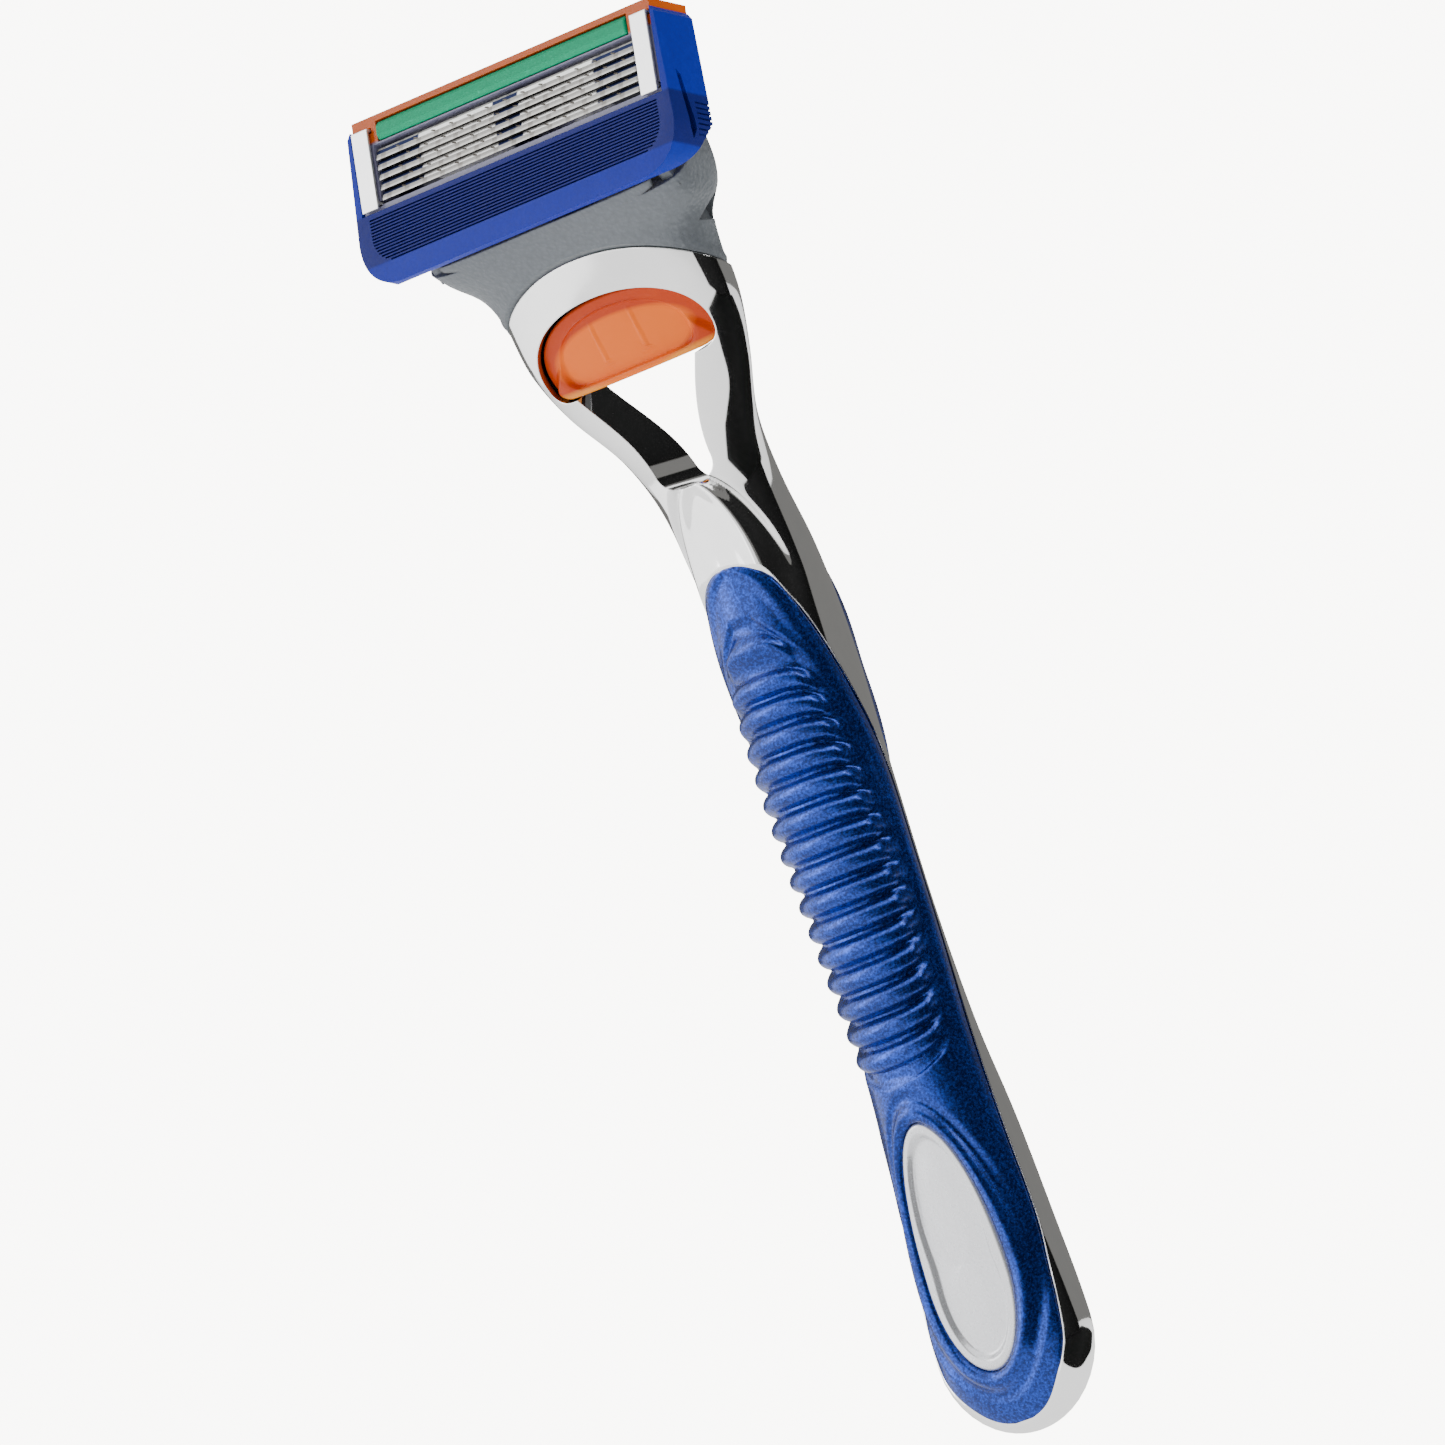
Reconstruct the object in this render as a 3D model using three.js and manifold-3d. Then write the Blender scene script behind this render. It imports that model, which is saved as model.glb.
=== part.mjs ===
// Cartridge razor: a five-blade shaving head on a chrome and elastomer handle.
//
// Millimetres. X runs across the blades, -Y is the shaving side, and +Z runs up the handle
// to the head. Heights are counted from the tail of the handle; the outermost group moves
// the origin up to the neck, where a stand holds the razor.

import * as THREE from 'three';
import { mergeVertices } from 'three/addons/utils/BufferGeometryUtils.js';
import Module from 'manifold-3d';

const wasm = await Module();
wasm.setup();

// ---------------------------------------------------------------- driving dimensions

// Handle
const NECK_HEIGHT = 104; // tail to the thin neck
const TAIL_HALF = 9.0; // half widths of the handle, from the tail up
const WAIST_HALF = 6.2;
const SWELL_HALF = 6.6;
const NECK_HALF = 8.1;
const HEAD_HALF = 13.5;
const SHELL_WALL = 0.8; // chrome wall round the head cavity
const FRAME_WALL = 2.0; // chrome wall under the grips
const SEAM_RISE = 20.1; // neck to the top of the head shell, at its front
const SEAM_SLOPE = 0.5; // how far the head's rim falls towards the back, per mm
const SEAM_RADIUS = 40; // crown of the head's rim, seen from the front

// Grips
const GRIP_DROP = 13; // neck down to the apex of the front grip
const RIB_COUNT = 15;
const RIB_LAND = 9.9; // smooth stretch between the ribs and the apex
const RIB_START = 6.9; // badge up to the lowest rib
const RIB_HEIGHT = 0.45;
const REAR_GRIP_DROP = 9; // neck down to the top of the rear grip
const REAR_GRIP_LENGTH = 35;
const REAR_GRIP_HALF = 4.7;
const REAR_GRIP_THICK = 1.3;
const REAR_GRIP_FROM = 3.5; // its sides reach no further forward than this
const BADGE_BOTTOM = 7.0;
const BADGE_TOP = 32.7;
const BADGE_HALF = 5.15;
const BADGE_THICK = 1.6;
const BADGE_TILT = 3.5; // degrees

// Neck window
const WINDOW_DROP = 4.6; // neck down to the foot of the window
const WINDOW_RISE = 8.9; // neck up to its top edge
const WINDOW_LOW_HALF = 3.7;
const WINDOW_HIGH_HALF = 8.7;

// Release button and what it pushes
const BUTTON_HALF = 10.9;
const BUTTON_BOTTOM = -8.9; // along the head's own axis, from its origin
const BUTTON_TOP = -0.2;
const BUTTON_TUCK = 1.0; // how far the button reaches up behind the rim
const BUTTON_THICK = 1.1;
const EJECTOR_HALF = 9.4;

// Blade unit, in its own frame: Z up its face, Y into its depth, the pivot at the origin
const FACE_TILT = 18; // degrees, cap leaning back
const PIVOT_RANGE = 40; // degrees
const UNIT_HALF = 21.0;
const UNIT_FACE = 0.17; // pivot to the face
const UNIT_BACK = 6.1;
const UNIT_BOTTOM = -5.2;
const UNIT_TOP = 12.4;
const FRAME_SIDE = 1.1; // guard's rim outside each end of the frame
const FRAME_BOTTOM = 2.65;
const BLADE_COUNT = 5;
const BLADE_PITCH = 1.05;
const BLADE_FIRST = 3.5;
const BLADE_SIDE = 0.4; // clip to the end of a blade
const BLADE_THICK = 0.12;
const BLADE_RAKE = 21; // degrees between a blade and the face
const BLADE_WIDTH = 1.25;
const SUPPORT_DEPTH = 4.4;
const STRIP_SIDE = 0.95; // clip to the end of the strip
const STRIP_BOTTOM = 9.7;
const STRIP_TOP = 11.6;
const CLIP_SIDE = 0.2; // end of the frame to a clip
const CLIP_WIDTH = 2.1;
const CLIP_BOTTOM = 2.75;
const CLIP_TOP = 11.15;
const CLIP_SHEET = 0.3;
const FIN_COUNT = 15;
const FIN_PITCH = 0.33;
const TRIMMER_SIDE = 3.2; // end of a blade to the end of the trimmer

// Head: its axis leans forward, and the plunger runs on it
const HEAD_Y = -4.788; // the head's origin, on its axis
const HEAD_RISE = 16.94; // neck to that origin
const HEAD_LEAN = 12; // degrees
const PLUNGER_ARM = 6.4; // pivot to the plunger's axis
const PLUNGER_REACH = 3.4; // along that axis, from the foot of the arm to the cam at rest
const PLUNGER_LENGTH = 5.5;
const PLUNGER_HALF = 2.2;
const PLUNGER_FRONT = 1.1;
const HEAD_DROP = 14.2; // pivot to the head's origin, along the axis
const CORE_FLOOR = -8.3;
const TONGUE_TOP = 7.2;
const TONGUE_HALF = 6.8;
const SPRING_WIRE = 0.4;

// Yoke
const YOKE_CLEAR = 6.6; // kept free round the pivot
const HOOK_X = 15.2; // middle of each hook
const HOOK_INNER = 3.0;
const HOOK_OUTER = 4.3;
const HOOK_ARM_HALF = 0.7;
const HOOK_HEAD_HALF = 1.5;

const GAP = 0.3; // clearance between neighbouring pieces

// ---------------------------------------------------------------- small tools

const rad = THREE.MathUtils.degToRad;
const { lerp, clamp } = THREE.MathUtils;

// A closed geometry as a solid that can be cut and joined.
function solid(geometry) {
  geometry.deleteAttribute('normal');
  geometry.deleteAttribute('uv');
  const merged = mergeVertices(geometry.index ? geometry : mergeVertices(geometry), 1e-4);
  return new wasm.Manifold(new wasm.Mesh({
    numProp: 3,
    vertProperties: new Float32Array(merged.attributes.position.array),
    triVerts: new Uint32Array(merged.index.array),
  }));
}

// A solid back as a geometry.
function geometryOf(shape) {
  const mesh = shape.getMesh();
  const geometry = new THREE.BufferGeometry();
  geometry.setAttribute('position', new THREE.BufferAttribute(mesh.vertProperties, 3));
  geometry.setIndex(new THREE.BufferAttribute(mesh.triVerts, 1));
  return geometry;
}

function box(x0, x1, y0, y1, z0, z1) {
  const geometry = new THREE.BoxGeometry(x1 - x0, y1 - y0, z1 - z0);
  return solid(geometry.translate((x0 + x1) / 2, (y0 + y1) / 2, (z0 + z1) / 2));
}

// The same box on both sides of the middle.
function twinBox(x0, x1, y0, y1, z0, z1) {
  return box(x0, x1, y0, y1, z0, z1).add(box(-x1, -x0, y0, y1, z0, z1));
}

function shapeOf(points) {
  return new THREE.Shape(points.map(([a, b]) => new THREE.Vector2(a, b)));
}

// An outline in Y and Z, extruded along X.
function alongX(shape, x0, x1, curveSegments = 8) {
  const geometry = new THREE.ExtrudeGeometry(shape, { depth: x1 - x0, bevelEnabled: false, curveSegments });
  const turn = new THREE.Matrix4().makeBasis(
    new THREE.Vector3(0, 1, 0), new THREE.Vector3(0, 0, 1), new THREE.Vector3(1, 0, 0));
  return solid(geometry.applyMatrix4(turn).translate(x0, 0, 0));
}

// An outline in X and Z, extruded along Y.
function alongY(shape, y0, y1, curveSegments = 8) {
  const geometry = new THREE.ExtrudeGeometry(shape, { depth: y1 - y0, bevelEnabled: false, curveSegments });
  const turn = new THREE.Matrix4().makeBasis(
    new THREE.Vector3(1, 0, 0), new THREE.Vector3(0, 0, 1), new THREE.Vector3(0, -1, 0));
  return solid(geometry.applyMatrix4(turn).translate(0, y1, 0));
}

function rodAlongX(radius, x0, x1, segments = 48) {
  const geometry = new THREE.CylinderGeometry(radius, radius, x1 - x0, segments);
  return solid(geometry.rotateZ(Math.PI / 2).translate((x0 + x1) / 2, 0, 0));
}

// A ring sector about the X axis. Angles are degrees from straight down towards the back.
function sector(inner, outer, from, to, x0, x1) {
  const shape = new THREE.Shape();
  const start = rad(from - 90);
  const end = rad(to - 90);
  shape.absarc(0, 0, outer, start, end, false);
  shape.absarc(0, 0, inner, end, start, true);
  shape.closePath();
  return alongX(shape, x0, x1, 10);
}

// Smooth values between rows of a table whose first entry is the height.
function sample(rows, z) {
  const last = rows.length - 1;
  let i = rows.findIndex((row) => row[0] > z) - 1;
  if (i < 0) i = z <= rows[0][0] ? 0 : last - 1;
  const slope = (k, column) => {
    const a = rows[Math.max(k - 1, 0)];
    const b = rows[Math.min(k + 1, last)];
    return (b[column] - a[column]) / (b[0] - a[0]);
  };
  const span = rows[i + 1][0] - rows[i][0];
  const t = clamp((z - rows[i][0]) / span, 0, 1);
  return rows[i].map((value, column) => {
    const next = rows[i + 1][column];
    const t2 = t * t;
    const t3 = t2 * t;
    return (2 * t3 - 3 * t2 + 1) * value + (t3 - 2 * t2 + t) * span * slope(i, column)
      + (3 * t2 - 2 * t3) * next + (t3 - t2) * span * slope(i + 1, column);
  });
}

// A solid whose level sections are rounded outlines: section(z) gives half width, front, back
// and squareness, where 2 is an ellipse.
function loft(levels, section, around) {
  const geometry = new THREE.CylinderGeometry(1, 1, levels.length - 1, around, levels.length - 1);
  const position = geometry.attributes.position;
  for (let i = 0; i < position.count; i += 1) {
    const level = Math.round(position.getY(i) + (levels.length - 1) / 2);
    const z = levels[level];
    const { half, front, back, square } = section(z);
    const radius = Math.hypot(position.getX(i), position.getZ(i));
    const angle = Math.atan2(-position.getZ(i), position.getX(i));
    const bend = (value) => Math.sign(value) * Math.abs(value) ** (2 / square);
    const x = radius * half * bend(Math.cos(angle));
    const y = (front + back) / 2 + radius * ((back - front) / 2) * bend(Math.sin(angle));
    position.setXYZ(i, x, y, z);
  }
  return solid(geometry);
}

function place(shape, x, y, z, turnX = 0) {
  return shape.rotate([turnX, 0, 0]).translate([x, y, z]);
}

// ---------------------------------------------------------------- frames

const lean = rad(HEAD_LEAN);
const headZ = NECK_HEIGHT + HEAD_RISE;
const pivotY = HEAD_Y - PLUNGER_ARM * Math.cos(lean) - HEAD_DROP * Math.sin(lean);
const pivotZ = headZ - PLUNGER_ARM * Math.sin(lean) + HEAD_DROP * Math.cos(lean);

// From the head's leaning frame to the razor's, and back.
const fromHead = (shape) => place(shape, 0, HEAD_Y, headZ, HEAD_LEAN);
const toHead = (shape) => shape.translate([0, -HEAD_Y, -headZ]).rotate([-HEAD_LEAN, 0, 0]);

// ---------------------------------------------------------------- handle

// Height, half width, front, back, squareness
const handleRows = [
  [0, TAIL_HALF, -7.1, 0.8, 2.3],
  [0.096 * NECK_HEIGHT, TAIL_HALF, -6.9, 2.3, 2.4],
  [0.19 * NECK_HEIGHT, 0.92 * TAIL_HALF, -6.4, 3.3, 2.4],
  [0.29 * NECK_HEIGHT, lerp(WAIST_HALF, TAIL_HALF, 0.35), -5.9, 4.7, 2.3],
  [0.385 * NECK_HEIGHT, WAIST_HALF, -5.8, 5.2, 2.2],
  [0.5 * NECK_HEIGHT, WAIST_HALF, -5.8, 5.4, 2.2],
  [0.625 * NECK_HEIGHT, lerp(WAIST_HALF, SWELL_HALF, 0.8), -5.5, 6.2, 2.2],
  [0.77 * NECK_HEIGHT, SWELL_HALF, -4.7, 7.6, 2.2],
  [0.865 * NECK_HEIGHT, SWELL_HALF, -3.8, 6.9, 2.2],
  [0.94 * NECK_HEIGHT, 1.02 * SWELL_HALF, -3.9, 4.7, 2.3],
  [NECK_HEIGHT, NECK_HALF, -4.9, 2.4, 2.5],
  [NECK_HEIGHT + 6, lerp(NECK_HALF, HEAD_HALF, 0.6), -6.5, 0.5, 2.6],
  [NECK_HEIGHT + 11, 0.975 * HEAD_HALF, -7.7, -0.1, 2.6],
  [NECK_HEIGHT + 15, HEAD_HALF, -8.6, 0.0, 2.6],
  [NECK_HEIGHT + 22, 0.99 * HEAD_HALF, -10.0, 0.4, 2.6],
];
const handleTop = handleRows[handleRows.length - 1][0];

// Levels of the handle: close together where the tail rounds off.
const handleLevels = [0, 0.5, 1.3, 2.6, 4.4, 6.6, 9.2];
for (let z = 13; z < handleTop - 1; z += z < NECK_HEIGHT - 5 ? 5 : 2.5) handleLevels.push(z);
handleLevels.push(handleTop);

// One level section of the handle, pulled in by inset, with the rounded tail.
function handleSection(z, inset) {
  const [, half, front, back, square] = sample(handleRows, z);
  const fromTail = clamp((TAIL_HALF - 0.6 - z + inset) / TAIL_HALF, 0, 1);
  const round = Math.sqrt(Math.max(1 - fromTail ** 2, 0.01));
  const middle = (front + back) / 2;
  const depth = Math.max((back - front) / 2 * round ** 0.9 - inset, 0.2);
  return {
    half: Math.max(half * round - inset, 0.2),
    front: middle - depth,
    back: middle + depth,
    square,
  };
}

const handleSolid = (inset, levels = handleLevels) => loft(levels, (z) => handleSection(z, inset), 48);

// Everything above the head's rim, moved up by lift: what the yoke may fill.
function aboveSeam(lift) {
  const slope = Math.atan(SEAM_SLOPE);
  const radius = SEAM_RADIUS + lift;
  const drum = solid(new THREE.CylinderGeometry(radius, radius, 60, 160));
  const [, , front] = sample(handleRows, NECK_HEIGHT + SEAM_RISE);
  const crown = drum.translate([0, 0, -SEAM_RADIUS]);
  const ridge = place(crown, 0, front, NECK_HEIGHT + SEAM_RISE, -THREE.MathUtils.radToDeg(slope));
  return box(-30, 30, -30, 30, NECK_HEIGHT + 8, NECK_HEIGHT + 60).subtract(ridge);
}

// Side view of the line between grip and chrome: height and Y.
const gripTop = NECK_HEIGHT - GRIP_DROP;
const gripEdge = [
  [-0.02, -4.2], [0.055, -4.1], [0.11, -3.6], [0.22, -2.9], [0.33, -1.2], [0.395, -0.5], [0.495, 1.0],
  [0.605, 2.3], [0.68, 2.3], [0.77, 1.4], [0.88, 0.1], [0.945, -1.8], [1, -4.0],
].map(([share, y]) => [share * gripTop, y]);

// Everything in front of the grip line, moved forward by shift.
function beforeGripLine(shift) {
  const shape = new THREE.Shape();
  shape.moveTo(-30, -10);
  shape.lineTo(gripEdge[0][1] - shift, -10);
  shape.lineTo(gripEdge[0][1] - shift, gripEdge[0][0]);
  shape.splineThru(gripEdge.slice(1).map(([z, y]) => new THREE.Vector2(y - shift, z - 0.4 * shift)));
  shape.lineTo(-30, gripTop - 0.4 * shift);
  shape.closePath();
  return alongX(shape, -30, 30, 4);
}

// The grip's root lies in a trough of the frame.
function gripRoot(inset) {
  const levels = [];
  for (let i = 0; i <= 8; i += 1) levels.push(lerp(12 + inset, gripTop - 13 - inset, i / 8));
  return loft(levels, (z) => handleSection(z, FRAME_WALL + inset), 32)
    .intersect(box(-30, 30, -30, 4.0 - inset, 0, gripTop));
}

// The badge's egg outline, grown by a margin.
function badgeOutline(margin) {
  const shape = new THREE.Shape();
  const half = BADGE_HALF + margin;
  const low = BADGE_BOTTOM - margin;
  const high = BADGE_TOP + margin;
  const wide = lerp(BADGE_BOTTOM, BADGE_TOP, 0.37);
  shape.moveTo(0, low);
  shape.bezierCurveTo(0.62 * half, low, half, lerp(low, wide, 0.42), half, wide);
  shape.bezierCurveTo(half, lerp(wide, high, 0.5), 0.5 * half, high, 0, high);
  shape.bezierCurveTo(-0.5 * half, high, -half, lerp(wide, high, 0.5), -half, wide);
  shape.bezierCurveTo(-half, lerp(low, wide, 0.42), -0.62 * half, low, 0, low);
  return shape;
}

const badgeFront = -6.5; // at the middle of the badge
function badgeSolid(margin) {
  const slab = alongY(badgeOutline(margin), -margin, BADGE_THICK + margin, 10);
  const middle = (BADGE_BOTTOM + BADGE_TOP) / 2;
  return place(slab.translate([0, 0, -middle]), 0, badgeFront, middle, -BADGE_TILT);
}

// The neck's window, narrow below and wide under the button.
function windowSolid() {
  const foot = NECK_HEIGHT - WINDOW_DROP;
  const top = NECK_HEIGHT + WINDOW_RISE;
  const shape = new THREE.Shape();
  shape.moveTo(0, foot);
  shape.quadraticCurveTo(WINDOW_LOW_HALF, foot, WINDOW_LOW_HALF, foot + 2.6);
  shape.bezierCurveTo(
    WINDOW_LOW_HALF + 0.4, lerp(foot, top, 0.5),
    WINDOW_HIGH_HALF - 1.8, lerp(foot, top, 0.75),
    WINDOW_HIGH_HALF, top);
  shape.lineTo(-WINDOW_HIGH_HALF, top);
  shape.bezierCurveTo(
    -WINDOW_HIGH_HALF + 1.8, lerp(foot, top, 0.75),
    -WINDOW_LOW_HALF - 0.4, lerp(foot, top, 0.5),
    -WINDOW_LOW_HALF, foot + 2.6);
  shape.quadraticCurveTo(-WINDOW_LOW_HALF, foot, 0, foot);
  return alongY(shape, -30, 30, 8);
}

// The button's outline in the head's frame, grown by a margin.
function buttonOutline(margin, top = BUTTON_TOP) {
  const shape = new THREE.Shape();
  const half = BUTTON_HALF + margin;
  const low = BUTTON_BOTTOM - margin;
  const high = top + margin;
  shape.moveTo(-half + 2, low);
  shape.lineTo(half - 2, low);
  shape.quadraticCurveTo(half, low, half, low + 2.4);
  shape.bezierCurveTo(half, low + 5.8, 0.62 * half, high, 0, high);
  shape.bezierCurveTo(-0.62 * half, high, -half, low + 5.8, -half, low + 2.4);
  shape.quadraticCurveTo(-half, low, -half + 2, low);
  return shape;
}

const headLevels = [];
for (let z = NECK_HEIGHT + 4; z < NECK_HEIGHT + 22; z += 2) headLevels.push(z);
headLevels.push(NECK_HEIGHT + 22);
const headLoft = (inset) => toHead(handleSolid(inset, headLevels));

// An oval on the back, for the rear grip and its seat.
function rearGripBlank(margin, depth) {
  const middle = NECK_HEIGHT - REAR_GRIP_DROP - REAR_GRIP_LENGTH / 2;
  const tall = REAR_GRIP_LENGTH / 2 + margin;
  const shape = new THREE.Shape();
  shape.absellipse(0, middle, REAR_GRIP_HALF + margin, tall, 0, 2 * Math.PI);
  return handleSolid(0).subtract(handleSolid(depth)).intersect(alongY(shape, REAR_GRIP_FROM, 30, 14));
}

function makeHandleFrame() {
  const cavity = headLoft(SHELL_WALL).intersect(box(-30, 30, -30, 30, CORE_FLOOR - GAP, 40));
  const buttonHole = alongY(buttonOutline(GAP), -30, 0, 10);
  return handleSolid(0)
    .subtract(beforeGripLine(0))
    .subtract(gripRoot(0))
    .subtract(rearGripBlank(GAP, REAR_GRIP_THICK + GAP))
    .subtract(windowSolid())
    .subtract(fromHead(cavity.add(buttonHole)))
    .subtract(aboveSeam(0));
}

// The grip's ribs swell its front.
const ribBottom = BADGE_TOP + RIB_START;
const ribPitch = (gripTop - RIB_LAND - ribBottom) / RIB_COUNT;
function ribbedSection(z) {
  const section = handleSection(z, 0);
  const phase = (z - ribBottom) / ribPitch;
  if (phase < -0.5 || phase > RIB_COUNT - 0.5) return section;
  const swell = RIB_HEIGHT * Math.cos(2 * Math.PI * phase);
  return { ...section, front: section.front - swell, half: section.half + 0.3 * swell };
}

function makeFrontGrip() {
  const levels = handleLevels.filter((z) => z < ribBottom - ribPitch);
  const ribTop = ribBottom + RIB_COUNT * ribPitch;
  for (let z = ribBottom - ribPitch / 2; z < ribTop; z += ribPitch / 4) levels.push(z);
  levels.push(ribTop + 3, gripTop + 2);
  return loft(levels, ribbedSection, 32)
    .intersect(beforeGripLine(GAP))
    .add(gripRoot(GAP).intersect(box(-30, 30, -5, 30, 0, gripTop)))
    .subtract(badgeSolid(GAP));
}

const makeRearGrip = () => rearGripBlank(0, REAR_GRIP_THICK);
const makeBadge = () => badgeSolid(0);

// ---------------------------------------------------------------- head, in its own frame

const tipRest = HEAD_DROP - PLUNGER_REACH - GAP;
const plungerFoot = tipRest - PLUNGER_LENGTH;
const springPocket = { near: 3.9, far: 6.5, back: 2.4, floor: CORE_FLOOR + 0.5, top: 1.4 };
const springMiddle = (springPocket.near + springPocket.far) / 2;

function makeDockCore() {
  const body = headLoft(SHELL_WALL + GAP)
    .intersect(box(-30, 30, 0.3, 30, CORE_FLOOR, 40))
    .subtract(toHead(aboveSeam(-0.2)));
  const tongue = twinBox(0, TONGUE_HALF, 0.3, 2.9, -2, TONGUE_TOP);
  const channel = box(-PLUNGER_HALF - GAP, PLUNGER_HALF + GAP, -5, 2.1, CORE_FLOOR + 0.6, 40);
  const camPath = box(-PLUNGER_HALF - GAP, PLUNGER_HALF + GAP, -30, 30, 6.0, 40);
  const pockets = twinBox(
    springPocket.near, springPocket.far, -5, springPocket.back, springPocket.floor, springPocket.top);
  const floor = twinBox(0, PLUNGER_HALF + 1.5, -1.2, 0.4, CORE_FLOOR, CORE_FLOOR + 0.6);
  return body.add(tongue).add(floor).subtract(channel).subtract(camPath).subtract(pockets);
}

// Its front stays behind the blade unit's tilted back.
function makePlunger() {
  const unitTurn = rad(HEAD_LEAN + FACE_TILT);
  const reach = PLUNGER_REACH + GAP;
  const unitBack = (UNIT_BACK + GAP / 2 - Math.sin(unitTurn) * reach) / Math.cos(unitTurn) - PLUNGER_ARM;
  const front = Math.max(-PLUNGER_FRONT, unitBack);
  return box(-PLUNGER_HALF, PLUNGER_HALF, front, 1.7, plungerFoot, tipRest);
}

// A coil spring that stands along Z between two heights.
function spring(radius, wire, turns, low, high) {
  const points = [];
  const steps = turns * 12;
  for (let i = 0; i <= steps; i += 1) {
    const angle = 2 * Math.PI * i / 12;
    const z = lerp(low + wire / 2, high - wire / 2, i / steps);
    points.push(new THREE.Vector3(radius * Math.cos(angle), radius * Math.sin(angle), z));
  }
  const section = new THREE.Shape();
  section.absarc(0, 0, wire / 2, 0, 2 * Math.PI);
  return solid(new THREE.ExtrudeGeometry(section, {
    steps: steps, curveSegments: 3, bevelEnabled: false, extrudePath: new THREE.CatmullRomCurve3(points),
  }));
}

function makeButton() {
  const blank = alongY(buttonOutline(0, BUTTON_TOP + BUTTON_TUCK), -30, 0, 10);
  const skin = headLoft(SHELL_WALL + 0.2).subtract(headLoft(SHELL_WALL + 0.2 + BUTTON_THICK));
  return skin.intersect(blank);
}

// A pusher behind the button: plate, prong under the yoke, and a shelf under its spring.
function makeEjector(side) {
  const inner = PLUNGER_HALF + 2 * GAP;
  const plate = box(inner, EJECTOR_HALF, -3, 0, CORE_FLOOR + 0.6 + GAP, -1.2);
  const prong = box(EJECTOR_HALF - 1.8, EJECTOR_HALF, -3, 0, -2, 8).subtract(toHead(aboveSeam(-0.1)));
  const keep = headLoft(SHELL_WALL + BUTTON_THICK + 2 * GAP);
  const shelf = box(
    springPocket.near + 0.2, springPocket.far - 0.2, -0.5, springPocket.back - 0.1,
    springPocket.floor + 0.2, springPocket.floor + 0.9,
  ).intersect(headLoft(SHELL_WALL + 2 * GAP));
  const right = plate.add(prong).intersect(keep).add(shelf);
  return side > 0 ? right : right.mirror([1, 0, 0]);
}

// ---------------------------------------------------------------- yoke

// Height, half width, front, back, squareness
const yokeRows = [
  [NECK_HEIGHT + 12, 0.985 * HEAD_HALF, -9.0, 0.0, 2.6],
  [NECK_HEIGHT + 17, HEAD_HALF, -9.4, -0.1, 2.6],
  [NECK_HEIGHT + 20, HEAD_HALF + 0.8, -9.9, -0.6, 2.9],
  [NECK_HEIGHT + 22.5, HEAD_HALF + 2.7, -10.6, -1.2, 3.8],
  [NECK_HEIGHT + 25, HEAD_HALF + 3.6, -11.8, -1.9, 4.5],
  [NECK_HEIGHT + 29.5, HEAD_HALF + 3.9, -12.6, -2.7, 4.5],
];

function makeYoke() {
  const levels = [];
  const top = yokeRows[yokeRows.length - 1][0];
  for (let z = yokeRows[0][0]; z < top; z += 1.25) levels.push(z);
  levels.push(top);
  const body = loft(levels, (z) => {
    const [, half, front, back, square] = sample(yokeRows, z);
    return { half, front, back, square };
  }, 48);
  const ring = place(rodAlongX(YOKE_CLEAR, -40, 40), 0, pivotY, pivotZ);
  const unitSide = box(-40, 40, -40, UNIT_BACK + 0.4, -20, 40);
  const sweep = place(unitSide, 0, pivotY, pivotZ, -FACE_TILT - PIVOT_RANGE);
  const behind = box(-40, 40, pivotY, 40, 0, 400);
  const pocket = box(-TONGUE_HALF - GAP, TONGUE_HALF + GAP, 0, 3.2, -10, TONGUE_TOP + GAP);
  const channel = box(-PLUNGER_HALF - GAP, PLUNGER_HALF + GAP, -1.6, 2.0, -10, 40);
  const camPath = box(-1.9, 1.9, -3.6, 5, 6.0, 40);
  const camRoll = place(sector(1, Math.hypot(PLUNGER_ARM, PLUNGER_REACH) + GAP, 31, 130, -1.9, 1.9),
    0, pivotY, pivotZ);
  const arm = sector(
    HOOK_INNER + 0.4, YOKE_CLEAR + 1.2, 32, 48, HOOK_X - HOOK_ARM_HALF, HOOK_X + HOOK_ARM_HALF);
  const hook = sector(HOOK_INNER, HOOK_OUTER, 22, 52, HOOK_X - HOOK_HEAD_HALF, HOOK_X + HOOK_HEAD_HALF);
  const hooks = place(arm.add(hook).add(arm.add(hook).mirror([1, 0, 0])), 0, pivotY, pivotZ);
  return body
    .intersect(aboveSeam(GAP))
    .intersect(behind)
    .subtract(ring)
    .subtract(camRoll)
    .subtract(sweep)
    .subtract(fromHead(pocket.add(channel).add(camPath)))
    .add(hooks);
}

// ---------------------------------------------------------------- blade unit, in its own frame

const frameHalf = UNIT_HALF - FRAME_SIDE;
const clipOuter = frameHalf - CLIP_SIDE;
const clipInner = clipOuter - CLIP_WIDTH;
const bladeHalf = clipInner - BLADE_SIDE;
const stripHalf = clipInner - STRIP_SIDE;
const trimmerHalf = bladeHalf - TRIMMER_SIDE;

function unitOutline() {
  const shape = new THREE.Shape();
  const half = UNIT_HALF;
  const low = UNIT_BOTTOM;
  const high = UNIT_TOP - 0.6;
  shape.moveTo(-half + 5, low);
  shape.lineTo(half - 5, low);
  shape.bezierCurveTo(half - 1.8, low, half, low + 2, half, low + 5);
  shape.lineTo(half - 0.5, high - 1);
  shape.lineTo(half - 1.2, high);
  shape.lineTo(-half + 1.2, high);
  shape.lineTo(-half + 0.5, high - 1);
  shape.lineTo(-half, low + 5);
  shape.bezierCurveTo(-half, low + 2, -half + 1.8, low, -half + 5, low);
  return shape;
}

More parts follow.
